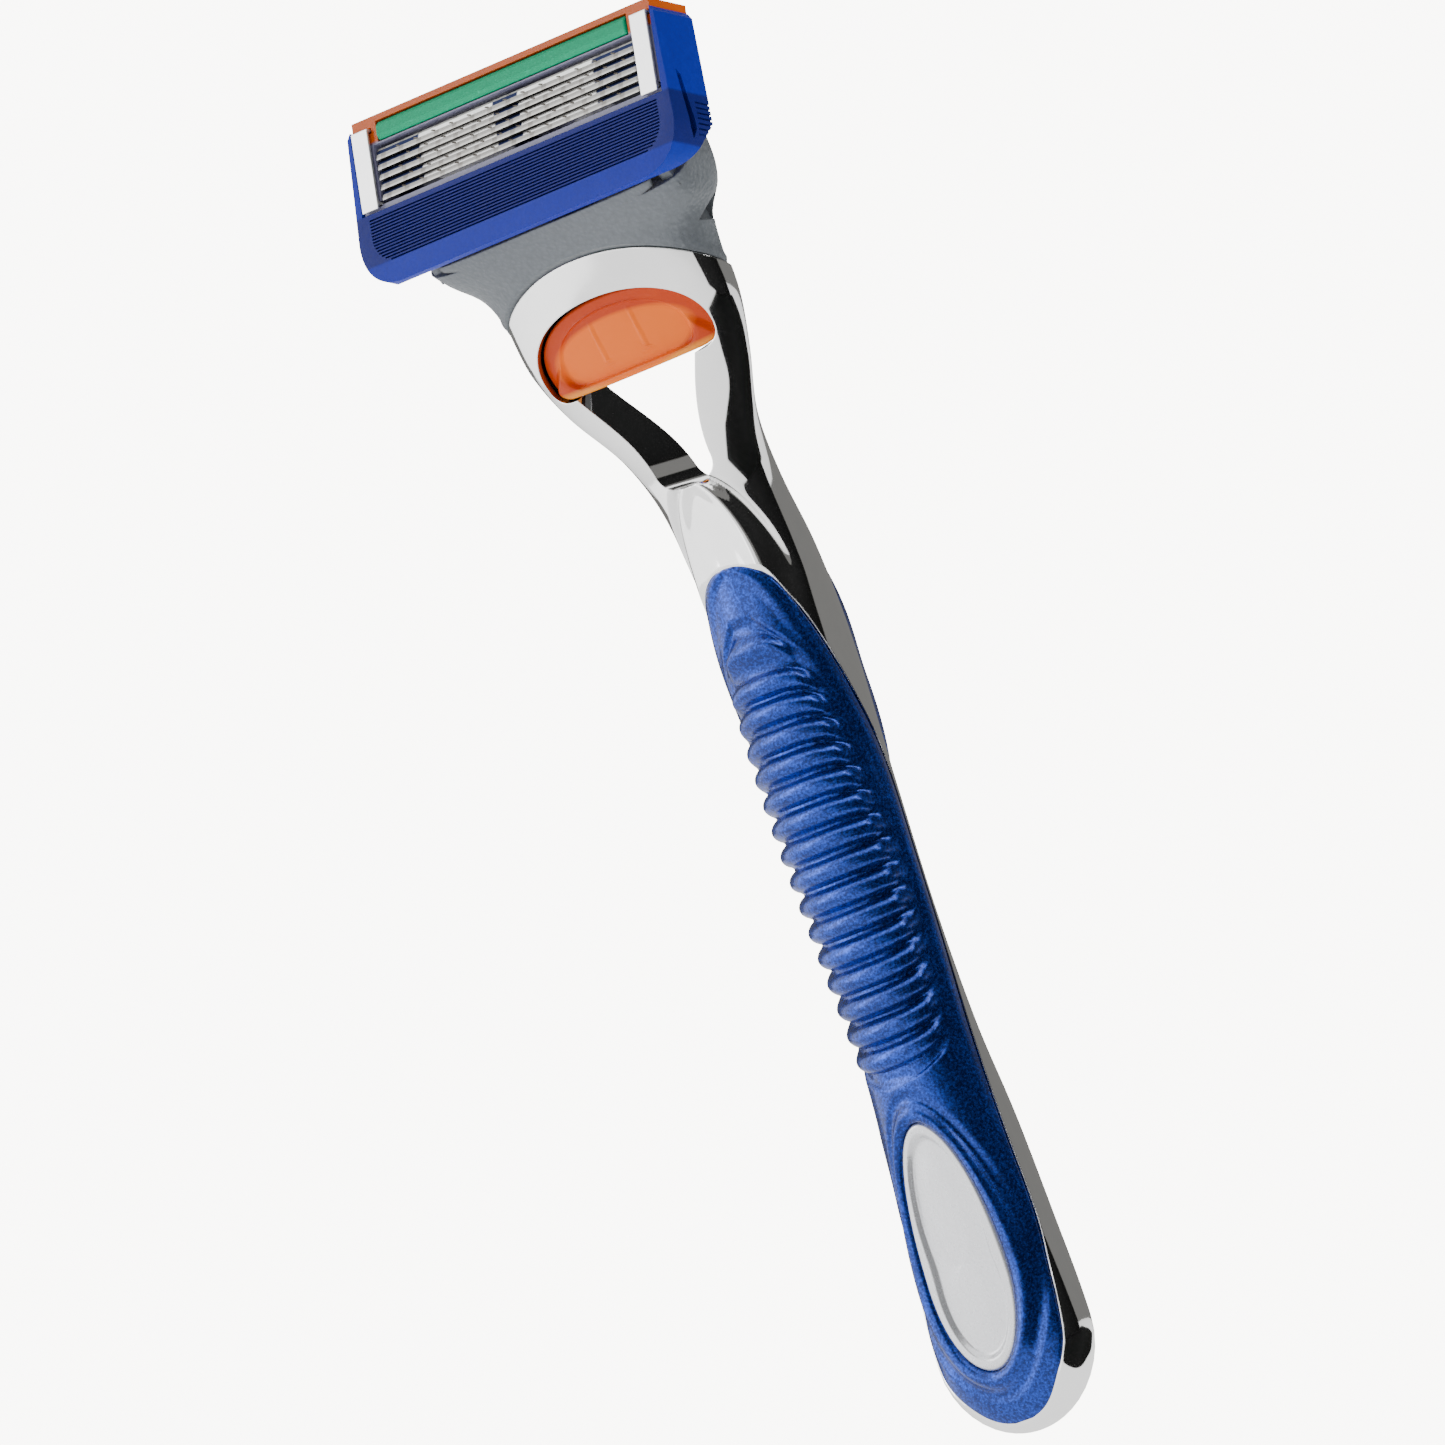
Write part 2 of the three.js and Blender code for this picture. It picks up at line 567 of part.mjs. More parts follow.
// Side view of the whole unit: its bottom rolls about the pivot.
function unitProfile() {
  const shape = new THREE.Shape();
  const radius = -UNIT_BOTTOM;
  shape.moveTo(UNIT_FACE, UNIT_TOP);
  shape.lineTo(UNIT_FACE, UNIT_BOTTOM);
  shape.absarc(0, 0, radius, rad(-88), rad(-25), false);
  shape.lineTo(UNIT_BACK, -0.4);
  shape.lineTo(UNIT_BACK, UNIT_TOP);
  shape.closePath();
  return shape;
}

function makeGuardOvermold() {
  const blank = alongY(unitOutline(), -1, 20, 8).intersect(alongX(unitProfile(), -30, 30, 8));
  const seat = box(-frameHalf - GAP / 2, frameHalf + GAP / 2, -5, 20, FRAME_BOTTOM - GAP, 40);
  const slotFrom = 22 + FACE_TILT - 3;
  const slotTo = 52 + FACE_TILT + PIVOT_RANGE + 3;
  const reach = HOOK_HEAD_HALF + GAP;
  const slot = sector(HOOK_INNER - GAP, HOOK_OUTER + GAP, slotFrom, slotTo, HOOK_X - reach, HOOK_X + reach);
  const thin = HOOK_ARM_HALF + GAP;
  const passFrom = 32 + FACE_TILT - 3;
  const passTo = 48 + FACE_TILT + PIVOT_RANGE + 3;
  const passage = sector(HOOK_INNER, 9, passFrom, passTo, HOOK_X - thin, HOOK_X + thin);
  const way = slot.add(passage);
  const finHalf = UNIT_HALF - 2.8;
  let body = blank.subtract(seat).subtract(way).subtract(way.mirror([1, 0, 0]));
  for (let i = 0; i < FIN_COUNT; i += 1) {
    const z = FRAME_BOTTOM - 0.75 - i * FIN_PITCH;
    body = body.subtract(box(-finHalf, finHalf, -5, UNIT_FACE + 0.4, z - 0.08, z + 0.08));
  }
  return body;
}

// The cam that presses the plunger: an involute about the pivot, given in the unit's frame.
function camShape() {
  const points = [];
  const turn = rad(HEAD_LEAN + FACE_TILT);
  for (let i = 0; i <= 8; i += 1) {
    const swing = rad(PIVOT_RANGE) * i / 8;
    const reach = PLUNGER_REACH + PLUNGER_ARM * swing;
    const v = PLUNGER_ARM * Math.cos(swing) + reach * Math.sin(swing);
    const w = PLUNGER_ARM * Math.sin(swing) - reach * Math.cos(swing);
    points.push([v * Math.cos(turn) - w * Math.sin(turn), v * Math.sin(turn) + w * Math.cos(turn)]);
  }
  const clear = UNIT_BACK + 0.35;
  const [, first] = points[0];
  return shapeOf([
    ...points, [points[8][0] - 0.6, points[8][1] + 1.2], [UNIT_BACK - 0.5, FRAME_BOTTOM + 4.6],
    [UNIT_BACK - 0.5, FRAME_BOTTOM + 0.2], [clear, FRAME_BOTTOM + 0.2], [clear, first + 0.3],
  ]);
}

function makeUnitFrame() {
  const high = UNIT_TOP;
  const blank = box(-frameHalf, frameHalf, UNIT_FACE + GAP, UNIT_BACK, FRAME_BOTTOM, high);
  const well = box(-bladeHalf - GAP, bladeHalf + GAP, -5, SUPPORT_DEPTH + 0.6, 3.15, 9.4);
  const rinse = twinBox(3.2, bladeHalf - 0.8, -5, 20, 3.6, 9.0);
  const seat = box(
    -stripHalf - GAP / 2, stripHalf + GAP / 2, -5, 1.7, STRIP_BOTTOM - GAP / 2, STRIP_TOP + GAP / 2);
  const legs = [CLIP_BOTTOM + 0.45, CLIP_TOP - CLIP_SHEET];
  let body = blank.subtract(well).subtract(rinse).subtract(seat);
  for (const z of legs) {
    body = body.subtract(twinBox(clipInner - 0.15, 40, -5, 20, z - 0.15, z + CLIP_SHEET + 0.15));
  }
  const trimmerSeat = box(-trimmerHalf - GAP, trimmerHalf + GAP, UNIT_BACK - 0.5, 20, 9.4, 40);
  return body.subtract(trimmerSeat).add(alongX(camShape(), -1.5, 1.5));
}

function makeStrip() {
  const shape = shapeOf([
    [UNIT_FACE + 0.25, STRIP_BOTTOM], [1.4, STRIP_BOTTOM], [1.4, STRIP_TOP], [UNIT_FACE + 0.45, STRIP_TOP],
    [UNIT_FACE, STRIP_TOP - 0.5], [UNIT_FACE - 0.05, STRIP_BOTTOM + 0.5],
  ]);
  return alongX(shape, -stripHalf, stripHalf);
}

const rake = rad(BLADE_RAKE);
const down = [Math.sin(rake), Math.cos(rake)]; // from the edge down along the blade: Y and Z
const under = [Math.cos(rake), -Math.sin(rake)]; // across the blade's thickness, inwards

// A blade: a thin plate with a ground edge.
function makeBlade(z) {
  const edgeY = UNIT_FACE + 0.08;
  const at = (along, across) => [
    edgeY + along * down[0] + across * under[0], z + along * down[1] + across * under[1]];
  return alongX(shapeOf([
    at(0, BLADE_THICK / 2), at(0.3, BLADE_THICK),
    at(BLADE_WIDTH, BLADE_THICK), at(BLADE_WIDTH, 0), at(0.3, 0),
  ]), -bladeHalf, bladeHalf);
}

// Its support: a bent strip that lies under the blade and stands in the frame.
function makeSupport(z) {
  const edgeY = UNIT_FACE + 0.08;
  const start = 0.45;
  const lift = BLADE_THICK + 0.03;
  const at = (along, across) => [
    edgeY + along * down[0] + across * under[0], z + along * down[1] + across * under[1]];
  const [bendY, bendZ] = at(BLADE_WIDTH - 0.2, lift + BLADE_THICK);
  return alongX(shapeOf([
    at(start, lift), at(start, lift + BLADE_THICK), [bendY, bendZ],
    [SUPPORT_DEPTH, bendZ], [SUPPORT_DEPTH, bendZ + BLADE_THICK],
    [bendY + 0.05, bendZ + BLADE_THICK + 0.02],
  ]), -bladeHalf, bladeHalf);
}

function makeClip(side) {
  const front = UNIT_FACE - CLIP_SHEET;
  const foot = UNIT_BACK + 0.1;
  const low = CLIP_BOTTOM + 0.45;
  const sheet = CLIP_SHEET;
  const shape = shapeOf([
    [front, CLIP_BOTTOM], [front + sheet, CLIP_BOTTOM], [front + sheet, low], [foot + sheet, low],
    [foot + sheet, low + 1.6], [foot, low + 1.6], [foot, low + sheet], [front + sheet, low + sheet],
    [front + sheet, CLIP_TOP - sheet], [foot, CLIP_TOP - sheet], [foot, CLIP_TOP - 1.7],
    [foot + sheet, CLIP_TOP - 1.7], [foot + sheet, CLIP_TOP], [front, CLIP_TOP],
  ]);
  const right = alongX(shape, clipInner, clipOuter);
  return side > 0 ? right : right.mirror([1, 0, 0]);
}

function makeTrimmerBlade() {
  return box(-trimmerHalf, trimmerHalf, UNIT_BACK - 0.4, UNIT_BACK - 0.25, 9.7, UNIT_TOP + 0.1);
}

function makeTrimmerGuard() {
  return box(-trimmerHalf, trimmerHalf, UNIT_BACK - 0.15, UNIT_BACK + 0.35, 9.7, UNIT_TOP - 0.3);
}

// ---------------------------------------------------------------- materials

const finish = {
  chrome: { color: 0xd8d8d6, roughness: 0.08, metalness: 1 },
  grip: { color: 0x1d3f9e, roughness: 0.55, metalness: 0 },
  badge: { color: 0xe4e6ea, roughness: 0.35, metalness: 0.3 },
  core: { color: 0x17181b, roughness: 0.5, metalness: 0 },
  steel: { color: 0xb9bbbd, roughness: 0.3, metalness: 1 },
  button: { color: 0xee6a14, roughness: 0.25, metalness: 0 },
  yoke: { color: 0x9a9fa4, roughness: 0.6, metalness: 0 },
  guard: { color: 0x1733ae, roughness: 0.45, metalness: 0 },
  orange: { color: 0xe87a1c, roughness: 0.3, metalness: 0 },
  strip: { color: 0x20d6a8, roughness: 0.5, metalness: 0 },
  blade: { color: 0xc9c8c4, roughness: 0.25, metalness: 1 },
  clip: { color: 0xe2e3e4, roughness: 0.35, metalness: 1 },
};

function piece(group, name, shape, look) {
  const mesh = new THREE.Mesh(geometryOf(shape), new THREE.MeshStandardMaterial(finish[look]));
  mesh.name = name;
  group.add(mesh);
}

// ---------------------------------------------------------------- assembly

const razor = new THREE.Group();
razor.position.z = -NECK_HEIGHT;

const head = new THREE.Group();
head.position.set(0, HEAD_Y, headZ);
head.rotation.x = lean;
razor.add(head);

const unit = new THREE.Group();
unit.position.set(0, pivotY, pivotZ);
unit.rotation.x = -rad(FACE_TILT);
razor.add(unit);

piece(razor, 'handle_frame', makeHandleFrame(), 'chrome');
piece(razor, 'front_grip', makeFrontGrip(), 'grip');
piece(razor, 'rear_grip', makeRearGrip(), 'grip');
piece(razor, 'badge', makeBadge(), 'badge');

piece(head, 'dock_core', makeDockCore(), 'core');
piece(head, 'plunger', makePlunger(), 'core');
piece(head, 'plunger_spring',
  spring(1.2, SPRING_WIRE, 7, CORE_FLOOR + 0.9, plungerFoot - 0.1), 'steel');
piece(head, 'release_button', makeButton(), 'button');
for (const [word, side] of [['left', -1], ['right', 1]]) {
  piece(head, `ejector_${word}`, makeEjector(side), 'core');
  const coil = spring(0.9, 0.3, 6, springPocket.floor + 1.0, springPocket.top - 0.1);
  piece(head, `button_spring_${word}`, coil.translate([side * springMiddle, 1.2, 0]), 'steel');
}

piece(razor, 'yoke', makeYoke(), 'yoke');

piece(unit, 'blade_unit_frame', makeUnitFrame(), 'orange');
piece(unit, 'guard_overmold', makeGuardOvermold(), 'guard');
piece(unit, 'lubricating_strip', makeStrip(), 'strip');
for (let i = 0; i < BLADE_COUNT; i += 1) {
  const z = BLADE_FIRST + i * BLADE_PITCH;
  piece(unit, `blade_${i + 1}`, makeBlade(z), 'blade');
  piece(unit, `blade_support_${i + 1}`, makeSupport(z), 'steel');
}
piece(unit, 'clip_left', makeClip(-1), 'clip');
piece(unit, 'clip_right', makeClip(1), 'clip');
piece(unit, 'trimmer_blade', makeTrimmerBlade(), 'blade');
piece(unit, 'trimmer_guard', makeTrimmerGuard(), 'guard');

export default razor;
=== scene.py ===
"""A cartridge razor: the fine surfaces, finishes and stage of its pieces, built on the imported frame.

Shapes are worked out in millimetres from the tail of the handle, X across the blades, -Y on the
shaving side and +Z up the handle. A piece is moved into the frame, in metres, as it is finished.
"""

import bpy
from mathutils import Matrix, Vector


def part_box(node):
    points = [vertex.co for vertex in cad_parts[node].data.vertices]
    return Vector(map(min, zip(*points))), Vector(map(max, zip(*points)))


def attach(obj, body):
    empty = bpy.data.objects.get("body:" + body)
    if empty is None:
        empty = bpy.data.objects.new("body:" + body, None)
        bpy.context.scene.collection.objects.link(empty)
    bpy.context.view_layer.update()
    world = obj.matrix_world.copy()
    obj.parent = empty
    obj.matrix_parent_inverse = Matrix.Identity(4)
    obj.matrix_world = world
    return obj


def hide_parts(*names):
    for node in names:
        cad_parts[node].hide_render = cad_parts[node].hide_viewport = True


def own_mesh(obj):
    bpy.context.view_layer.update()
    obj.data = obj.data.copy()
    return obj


bl_info = {
    "name": "Cartridge Razor",
    "version": (1, 0, 0),
    "blender": (4, 5, 0),
    "location": "View3D > Sidebar > Razor",
    "description": "Builds the visible pieces, finishes and stage of a cartridge razor",
    "category": "Object",
}

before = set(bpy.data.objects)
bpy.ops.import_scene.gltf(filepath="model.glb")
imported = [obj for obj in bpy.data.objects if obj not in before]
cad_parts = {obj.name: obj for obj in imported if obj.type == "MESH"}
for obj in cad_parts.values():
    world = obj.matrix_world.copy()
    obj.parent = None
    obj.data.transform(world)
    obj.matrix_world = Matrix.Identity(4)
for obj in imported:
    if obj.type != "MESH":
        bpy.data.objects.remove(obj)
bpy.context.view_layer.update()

import math
from functools import lru_cache

import bmesh
import bpy
from mathutils import Matrix, Vector

MM = 0.001
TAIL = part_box("handle_frame")[0].z / MM  # row height of the tail, in mm
TO_ROW = Matrix.Scale(MM, 4) @ Matrix.Translation((0, 0, TAIL))

# ------------------------------------------------------------------ driving sizes

NECK_HEIGHT = -TAIL
TAIL_HALF = 9.0
TAIL_RIM = 1.0  # plated rim left round the grip's foot

# Height, half width, front, back and squareness of the handle
HANDLE_ROWS = (
    (0, 9.0, -7.1, 0.8, 2.3),
    (10, 9.0, -6.9, 2.3, 2.4),
    (19.8, 8.28, -6.4, 3.3, 2.4),
    (30.2, 7.18, -5.9, 4.7, 2.3),
    (40, 6.2, -5.8, 5.2, 2.2),
    (52, 6.2, -5.8, 5.4, 2.2),
    (65, 6.52, -5.5, 6.2, 2.2),
    (80.1, 6.6, -4.7, 7.6, 2.2),
    (90, 6.6, -3.8, 6.9, 2.2),
    (97.8, 6.73, -3.9, 4.7, 2.3),
    (104, 8.1, -4.9, 2.4, 2.5),
    (110, 11.34, -6.5, 0.5, 2.6),
    (115, 13.16, -7.7, -0.1, 2.6),
    (119, 13.5, -8.6, 0.0, 2.6),
    (126, 13.365, -10.0, 0.4, 2.6),
)
# The same for the yoke
YOKE_ROWS = (
    (116, 13.3, -9.0, 0.0, 2.6),
    (121, 13.5, -9.4, -0.1, 2.6),
    (124, 14.3, -10.1, -0.6, 2.9),
    (126.5, 16.2, -11.5, -1.2, 3.8),
    (129, 17.1, -13.0, -1.9, 4.5),
    (133.5, 17.4, -13.9, -2.7, 4.5),
)
# Side view of the line between grip and chrome: height and Y
GRIP_LINE = (
    (1.1, -5.2), (4.5, -5.45), (8.5, -4.9), (15, -3.7), (20, -2.6), (31, -1.1), (40, 0.5),
    (51.5, 1.95), (60, 2.35), (66, 2.5), (70, 2.1), (75, 0.95), (80, -0.3), (85, -1.65),
    (88, -2.5), (91, -3.85),
)
# Height and angle where the ribs run out at the side
RIB_SIDE = (
    (36.5, -80), (38.5, -34), (42, -16), (50, -6), (58, -3), (65, -10), (73.4, -24),
    (80.5, -45), (85, -78),
)
GRIP_TOP = 91.0
GRIP_GAP = 0.08  # between grip and plating
GRIP_COLUMNS = 132
GRIP_ROWS = 440
SHELL_TOP = 126.0
SHELL_WALL = 0.8
SHELL_FLOOR = -8.6  # lowest place of the head's cavity, in the head's frame
TONGUE_FOOT = 87.0
TONGUE_TALL = 13.2
TONGUE_HALF = 5.2
CREASE_LOW = 84
CREASE_HIGH = 104
EGG_CENTRE = 16.5  # height of the badge's widest place
EGG_HALF = 5.15
EGG_UP = 16.2
EGG_DOWN = 9.5
REAR_MIDDLE = 77.5
REAR_TALL = 17.5
REAR_HALF = 5.4
REAR_GROOVE_PITCH = 2.4
REAR_SWELL = 0.9
WINDOW_FOOT = NECK_HEIGHT - 4.6
WINDOW_TOP = NECK_HEIGHT + 8.9
SEAM_RIDGE = 124.1
SEAM_FRONT = -9.6
SEAM_SLOPE = 0.5
SEAM_RADIUS = 40.0

HEAD_LEAN = 12.0
HEAD_Y = -4.788
HEAD_Z = NECK_HEIGHT + 16.94
FACE_TILT = 18.0
PIVOT = Vector((0, -14.0005, 133.4991))
UNIT_HALF = 21.0
UNIT_FACE = 0.17
UNIT_BACK = 6.1
UNIT_BOTTOM = -5.2
UNIT_TOP = 12.4
FRAME_BOTTOM = 2.65
BLADE_FIRST = 3.5
BLADE_PITCH = 1.05
BLADE_HALF = 17.2  # half length of a blade
BLADE_RAKE = 21.0
WELD_PITCH = 2.4
FIN_COUNT = 15
FIN_PITCH = 0.33
FIN_HALF = 0.09  # half width of the slot between two fins
SWING = 40.0  # degrees the blade unit leans back
ROLL_RADIUS = 6.6  # room for the blade unit's back corner as it swings
LIP_RADIUS = 5.5  # room for the rolled bottom of the guard

HEAD = Matrix.Translation((0, HEAD_Y, HEAD_Z)) @ Matrix.Rotation(math.radians(HEAD_LEAN), 4, "X")
UNIT = Matrix.Translation(PIVOT) @ Matrix.Rotation(-math.radians(FACE_TILT), 4, "X")
ALONG_X = Matrix(((0, 0, 1, 0), (1, 0, 0, 0), (0, 1, 0, 0), (0, 0, 0, 1)))
ALONG_Y = Matrix(((1, 0, 0, 0), (0, 0, 1, 0), (0, 1, 0, 0), (0, 0, 0, 1)))


# ------------------------------------------------------------------ small maths


def clamp(value, low=0.0, high=1.0):
    return min(max(value, low), high)


def lerp(a, b, share):
    return a + (b - a) * share


def smooth_step(low, high, value):
    share = clamp((value - low) / (high - low))
    return share * share * (3 - 2 * share)


def bump(value, middle, half):
    """A smooth hill of height 1 over middle, half wide on each side."""
    return 1 - smooth_step(0, 1, abs(value - middle) / half)


def round_over(border, radius):
    """How far a rounded edge has dropped at a distance from its border."""
    return radius - math.sqrt(max(radius * radius - max(radius - border, 0) ** 2, 0))


def sampled(rows, at):
    """Smooth values between rows of a table whose first entry is where they hold."""
    last = len(rows) - 1
    i = next((k for k in range(1, last) if rows[k][0] > at), last) - 1

    def slope(k, column):
        a, b = rows[max(k - 1, 0)], rows[min(k + 1, last)]
        return (b[column] - a[column]) / (b[0] - a[0])

    span = rows[i + 1][0] - rows[i][0]
    t = clamp((at - rows[i][0]) / span)
    t2, t3 = t * t, t * t * t
    return [
        (2 * t3 - 3 * t2 + 1) * rows[i][c] + (t3 - 2 * t2 + t) * span * slope(i, c)
        + (3 * t2 - 2 * t3) * rows[i + 1][c] + (t3 - t2) * span * slope(i + 1, c)
        for c in range(1, len(rows[0]))
    ]


@lru_cache(maxsize=None)
def section(height, inset=0.0):
    """Half width, middle, half depth and squareness of the handle at a height."""
    half, front, back, square = sampled(HANDLE_ROWS, height)
    from_tail = clamp((TAIL_HALF - height + inset) / TAIL_HALF)
    close = math.sqrt(max(1 - from_tail**2, 0.0))
    depth = max((back - front) / 2 * close**0.9 - inset, 0.02)
    return max(half * close - inset, 0.02), (front + back) / 2, depth, square


def bent(value, square):
    return math.copysign(abs(value) ** (2 / square), value)


def on_ring(height, angle, inset=0.0):
    half, middle, depth, square = section(height, inset)
    x = half * bent(math.cos(angle), square)
    y = middle + depth * bent(math.sin(angle), square)
    return Vector((x, y, height))


def front_y(x, height, inset=0.0):
    """Y of the handle's front over a point."""
    half, middle, depth, square = section(height, inset)
    return middle - depth * (1 - clamp(abs(x) / half) ** square) ** (1 / square)


def ring_normal(height, angle):
    """Outward direction of the handle's surface."""
    step = 0.02
    here = on_ring(height, angle)
    along = on_ring(height + step, angle) - here
    around_it = on_ring(height, angle + step) - here
    normal = around_it.cross(along)
    return normal.normalized() if normal.length > 1e-9 else Vector((0, -1, 0))


@lru_cache(maxsize=None)
def edge_angle(height, gap=0.0):
    """Angle of the grip line on the handle's right side; the left is its mirror image."""
    half, middle, depth, square = section(height)
    y = sampled(GRIP_LINE, height)[0] - gap
    share = clamp((y - middle) / depth, -1, 1)
    angle = math.asin(math.copysign(abs(share) ** (square / 2), share))
    below = TAIL_HALF - height
    if below <= 0:
        return angle
    width = math.sqrt(max((TAIL_HALF - TAIL_RIM) ** 2 - below**2, 0.0001))
    return min(angle, -math.acos(clamp(width / half) ** (square / 2)))


def seam_height(x, y):
    """Height of the seam between head shell and yoke over a point."""
    crown = SEAM_RADIUS - math.sqrt(SEAM_RADIUS**2 - min(abs(x), 30) ** 2)
    return SEAM_RIDGE - SEAM_SLOPE * (y - SEAM_FRONT) - crown * math.hypot(1, SEAM_SLOPE)


# ------------------------------------------------------------------ outlines


def bezier(a, b, c, d, steps):
    """Points of a curve from a to d, without d."""
    points = []
    for i in range(steps):
        t = i / steps
        k = ((1 - t) ** 3, 3 * t * (1 - t) ** 2, 3 * t * t * (1 - t), t**3)
        points.append(tuple(sum(w * p[j] for w, p in zip(k, (a, b, c, d))) for j in (0, 1)))
    return points


def arc(radius, start, end, steps):
    """Points of an arc about the origin, angles in degrees."""
    angles = [math.radians(lerp(start, end, i / steps)) for i in range(steps + 1)]
    return [(radius * math.cos(a), radius * math.sin(a)) for a in angles]


def mirrored(points):
    """A half outline, from its foot to its head on the right, and back down the left."""
    return list(points) + [(-x, z) for x, z in reversed(points) if abs(x) > 1e-6]


def egg_outline(margin, steps):
    """The badge, in X and height."""
    points = []
    for i in range(steps):
        angle = 2 * math.pi * i / steps
        tall = (EGG_UP if math.sin(angle) > 0 else EGG_DOWN) + margin
        points.append(((EGG_HALF + margin) * math.cos(angle), EGG_CENTRE + tall * math.sin(angle)))
    return points


def egg_distance(x, height):
    """About how far a point lies outside the badge."""
    rise = height - EGG_CENTRE
    radius = math.hypot(x / EGG_HALF, rise / (EGG_UP if rise > 0 else EGG_DOWN))
    return math.hypot(x, rise) * (1 - 1 / max(radius, 0.1))


def button_outline(margin=0.0, top=-0.2, steps=20):
    """The release button in the head's frame."""
    half, low, high = 10.9 + margin, -8.9 - margin, top + margin
    corner = bezier((half - 2.6, low), (half - 0.8, low), (half, low + 0.8), (half, low + 2.6), steps)
    shoulder = bezier((half, low + 2.6), (half, low + 6), (0.62 * half, high), (0, high), 2 * steps)
    return mirrored([(0, low)] + [(half * k / 8, low) for k in range(1, 6)] + corner + shoulder)


def window_outline(steps=16):
    low, high = 3.7, 8.7
    foot = bezier((0, WINDOW_FOOT), (low - 1, WINDOW_FOOT), (low, WINDOW_FOOT + 0.8),
                  (low, WINDOW_FOOT + 2.6), steps)
    side = bezier((low, WINDOW_FOOT + 2.6), (low + 0.4, lerp(WINDOW_FOOT, WINDOW_TOP, 0.5)),
                  (high - 1.8, lerp(WINDOW_FOOT, WINDOW_TOP, 0.75)), (high, WINDOW_TOP), steps)
    return mirrored(foot + side + [(high, WINDOW_TOP + 1)])


def unit_outline(steps=12):
    """The blade unit seen from the front, in its own frame."""
    half, low, high = UNIT_HALF, UNIT_BOTTOM, UNIT_TOP - 0.6
    corner = bezier((half - 5, low), (half - 1.8, low), (half, low + 2), (half, low + 5), steps)
    top = [(half, low + 5), (half - 0.5, high - 1), (half - 1.2, high)]
    return mirrored([(0, low)] + corner + top)


def unit_profile(steps=16):
    """The blade unit seen from the side: its bottom rolls about the pivot."""
    roll = arc(-UNIT_BOTTOM, -88, -25, steps)
    return [(UNIT_FACE, UNIT_TOP), *roll, (UNIT_BACK, -0.4), (UNIT_BACK, UNIT_TOP)]


# ------------------------------------------------------------------ mesh tools


def grid(bm, columns, rows, place):
    """Adds a grid of faces: place(i, j) gives the corner in column i and row j."""
    made = bmesh.ops.create_grid(bm, x_segments=columns, y_segments=rows, size=0.5)
    for vert in made["verts"]:
        i = round((vert.co.x + 0.5) * columns)
        j = round((vert.co.y + 0.5) * rows)
        vert.co = place(i, j)
    return made["verts"]


def weld(bm, fill=True):
    """Merges what meets, closes what is open and turns every face outwards."""
    bmesh.ops.remove_doubles(bm, verts=bm.verts, dist=1e-4)
    if fill:
        bmesh.ops.holes_fill(bm, edges=[e for e in bm.edges if e.is_boundary], sides=0)
    bmesh.ops.dissolve_degenerate(bm, edges=bm.edges, dist=1e-5)
    bmesh.ops.recalc_face_normals(bm, faces=bm.faces)
    return bm


def loft(heights, columns, place):
    """A closed solid round the handle: place(height, angle) gives its surface."""
    bm = bmesh.new()
    step = 2 * math.pi / columns
    grid(bm, columns, len(heights) - 1, lambda i, j: place(heights[j], (i % columns) * step))
    return weld(bm)


def prism(points, low, high, matrix):
    """An outline pulled out between two depths, then placed."""
    bm = bmesh.new()
    face = bm.faces.new([bm.verts.new((a, b, low)) for a, b in points])
    made = bmesh.ops.extrude_face_region(bm, geom=[face])
    moved = [v for v in made["geom"] if isinstance(v, bmesh.types.BMVert)]
    bmesh.ops.translate(bm, verts=moved, vec=(0, 0, high - low))
    bmesh.ops.transform(bm, matrix=matrix, verts=bm.verts)
    bmesh.ops.recalc_face_normals(bm, faces=bm.faces)
    return bm


def block(x0, x1, y0, y1, z0, z1, matrix=Matrix.Identity(4)):
    bm = bmesh.new()
    made = bmesh.ops.create_cube(bm, size=1)
    bmesh.ops.scale(bm, verts=made["verts"], vec=(x1 - x0, y1 - y0, z1 - z0))
    bmesh.ops.translate(bm, verts=made["verts"], vec=((x0 + x1) / 2, (y0 + y1) / 2, (z0 + z1) / 2))
    bmesh.ops.transform(bm, matrix=matrix, verts=bm.verts)
    return bm


def joined(*parts):
    """Several closed solids in one mesh."""
    whole = parts[0]
    for part in parts[1:]:
        mesh = bpy.data.meshes.new("part")
        part.to_mesh(mesh)
        whole.from_mesh(mesh)
        bpy.data.meshes.remove(mesh)
        part.free()
    return whole


def both_sides(bm):
    """The same solid again, mirrored in X."""
    copied = bmesh.ops.duplicate(bm, geom=bm.verts[:] + bm.edges[:] + bm.faces[:])
    verts = [v for v in copied["geom"] if isinstance(v, bmesh.types.BMVert)]
    bmesh.ops.scale(bm, verts=verts, vec=(-1, 1, 1))
    bmesh.ops.recalc_face_normals(bm, faces=bm.faces)
    return bm


def scrap(bm):
    """A working object that holds a mesh for a moment."""
    mesh = bpy.data.meshes.new("scrap")
    bm.to_mesh(mesh)
    bm.free()
    made = bpy.data.objects.new("scrap", mesh)
    bpy.context.scene.collection.objects.link(made)
    return made


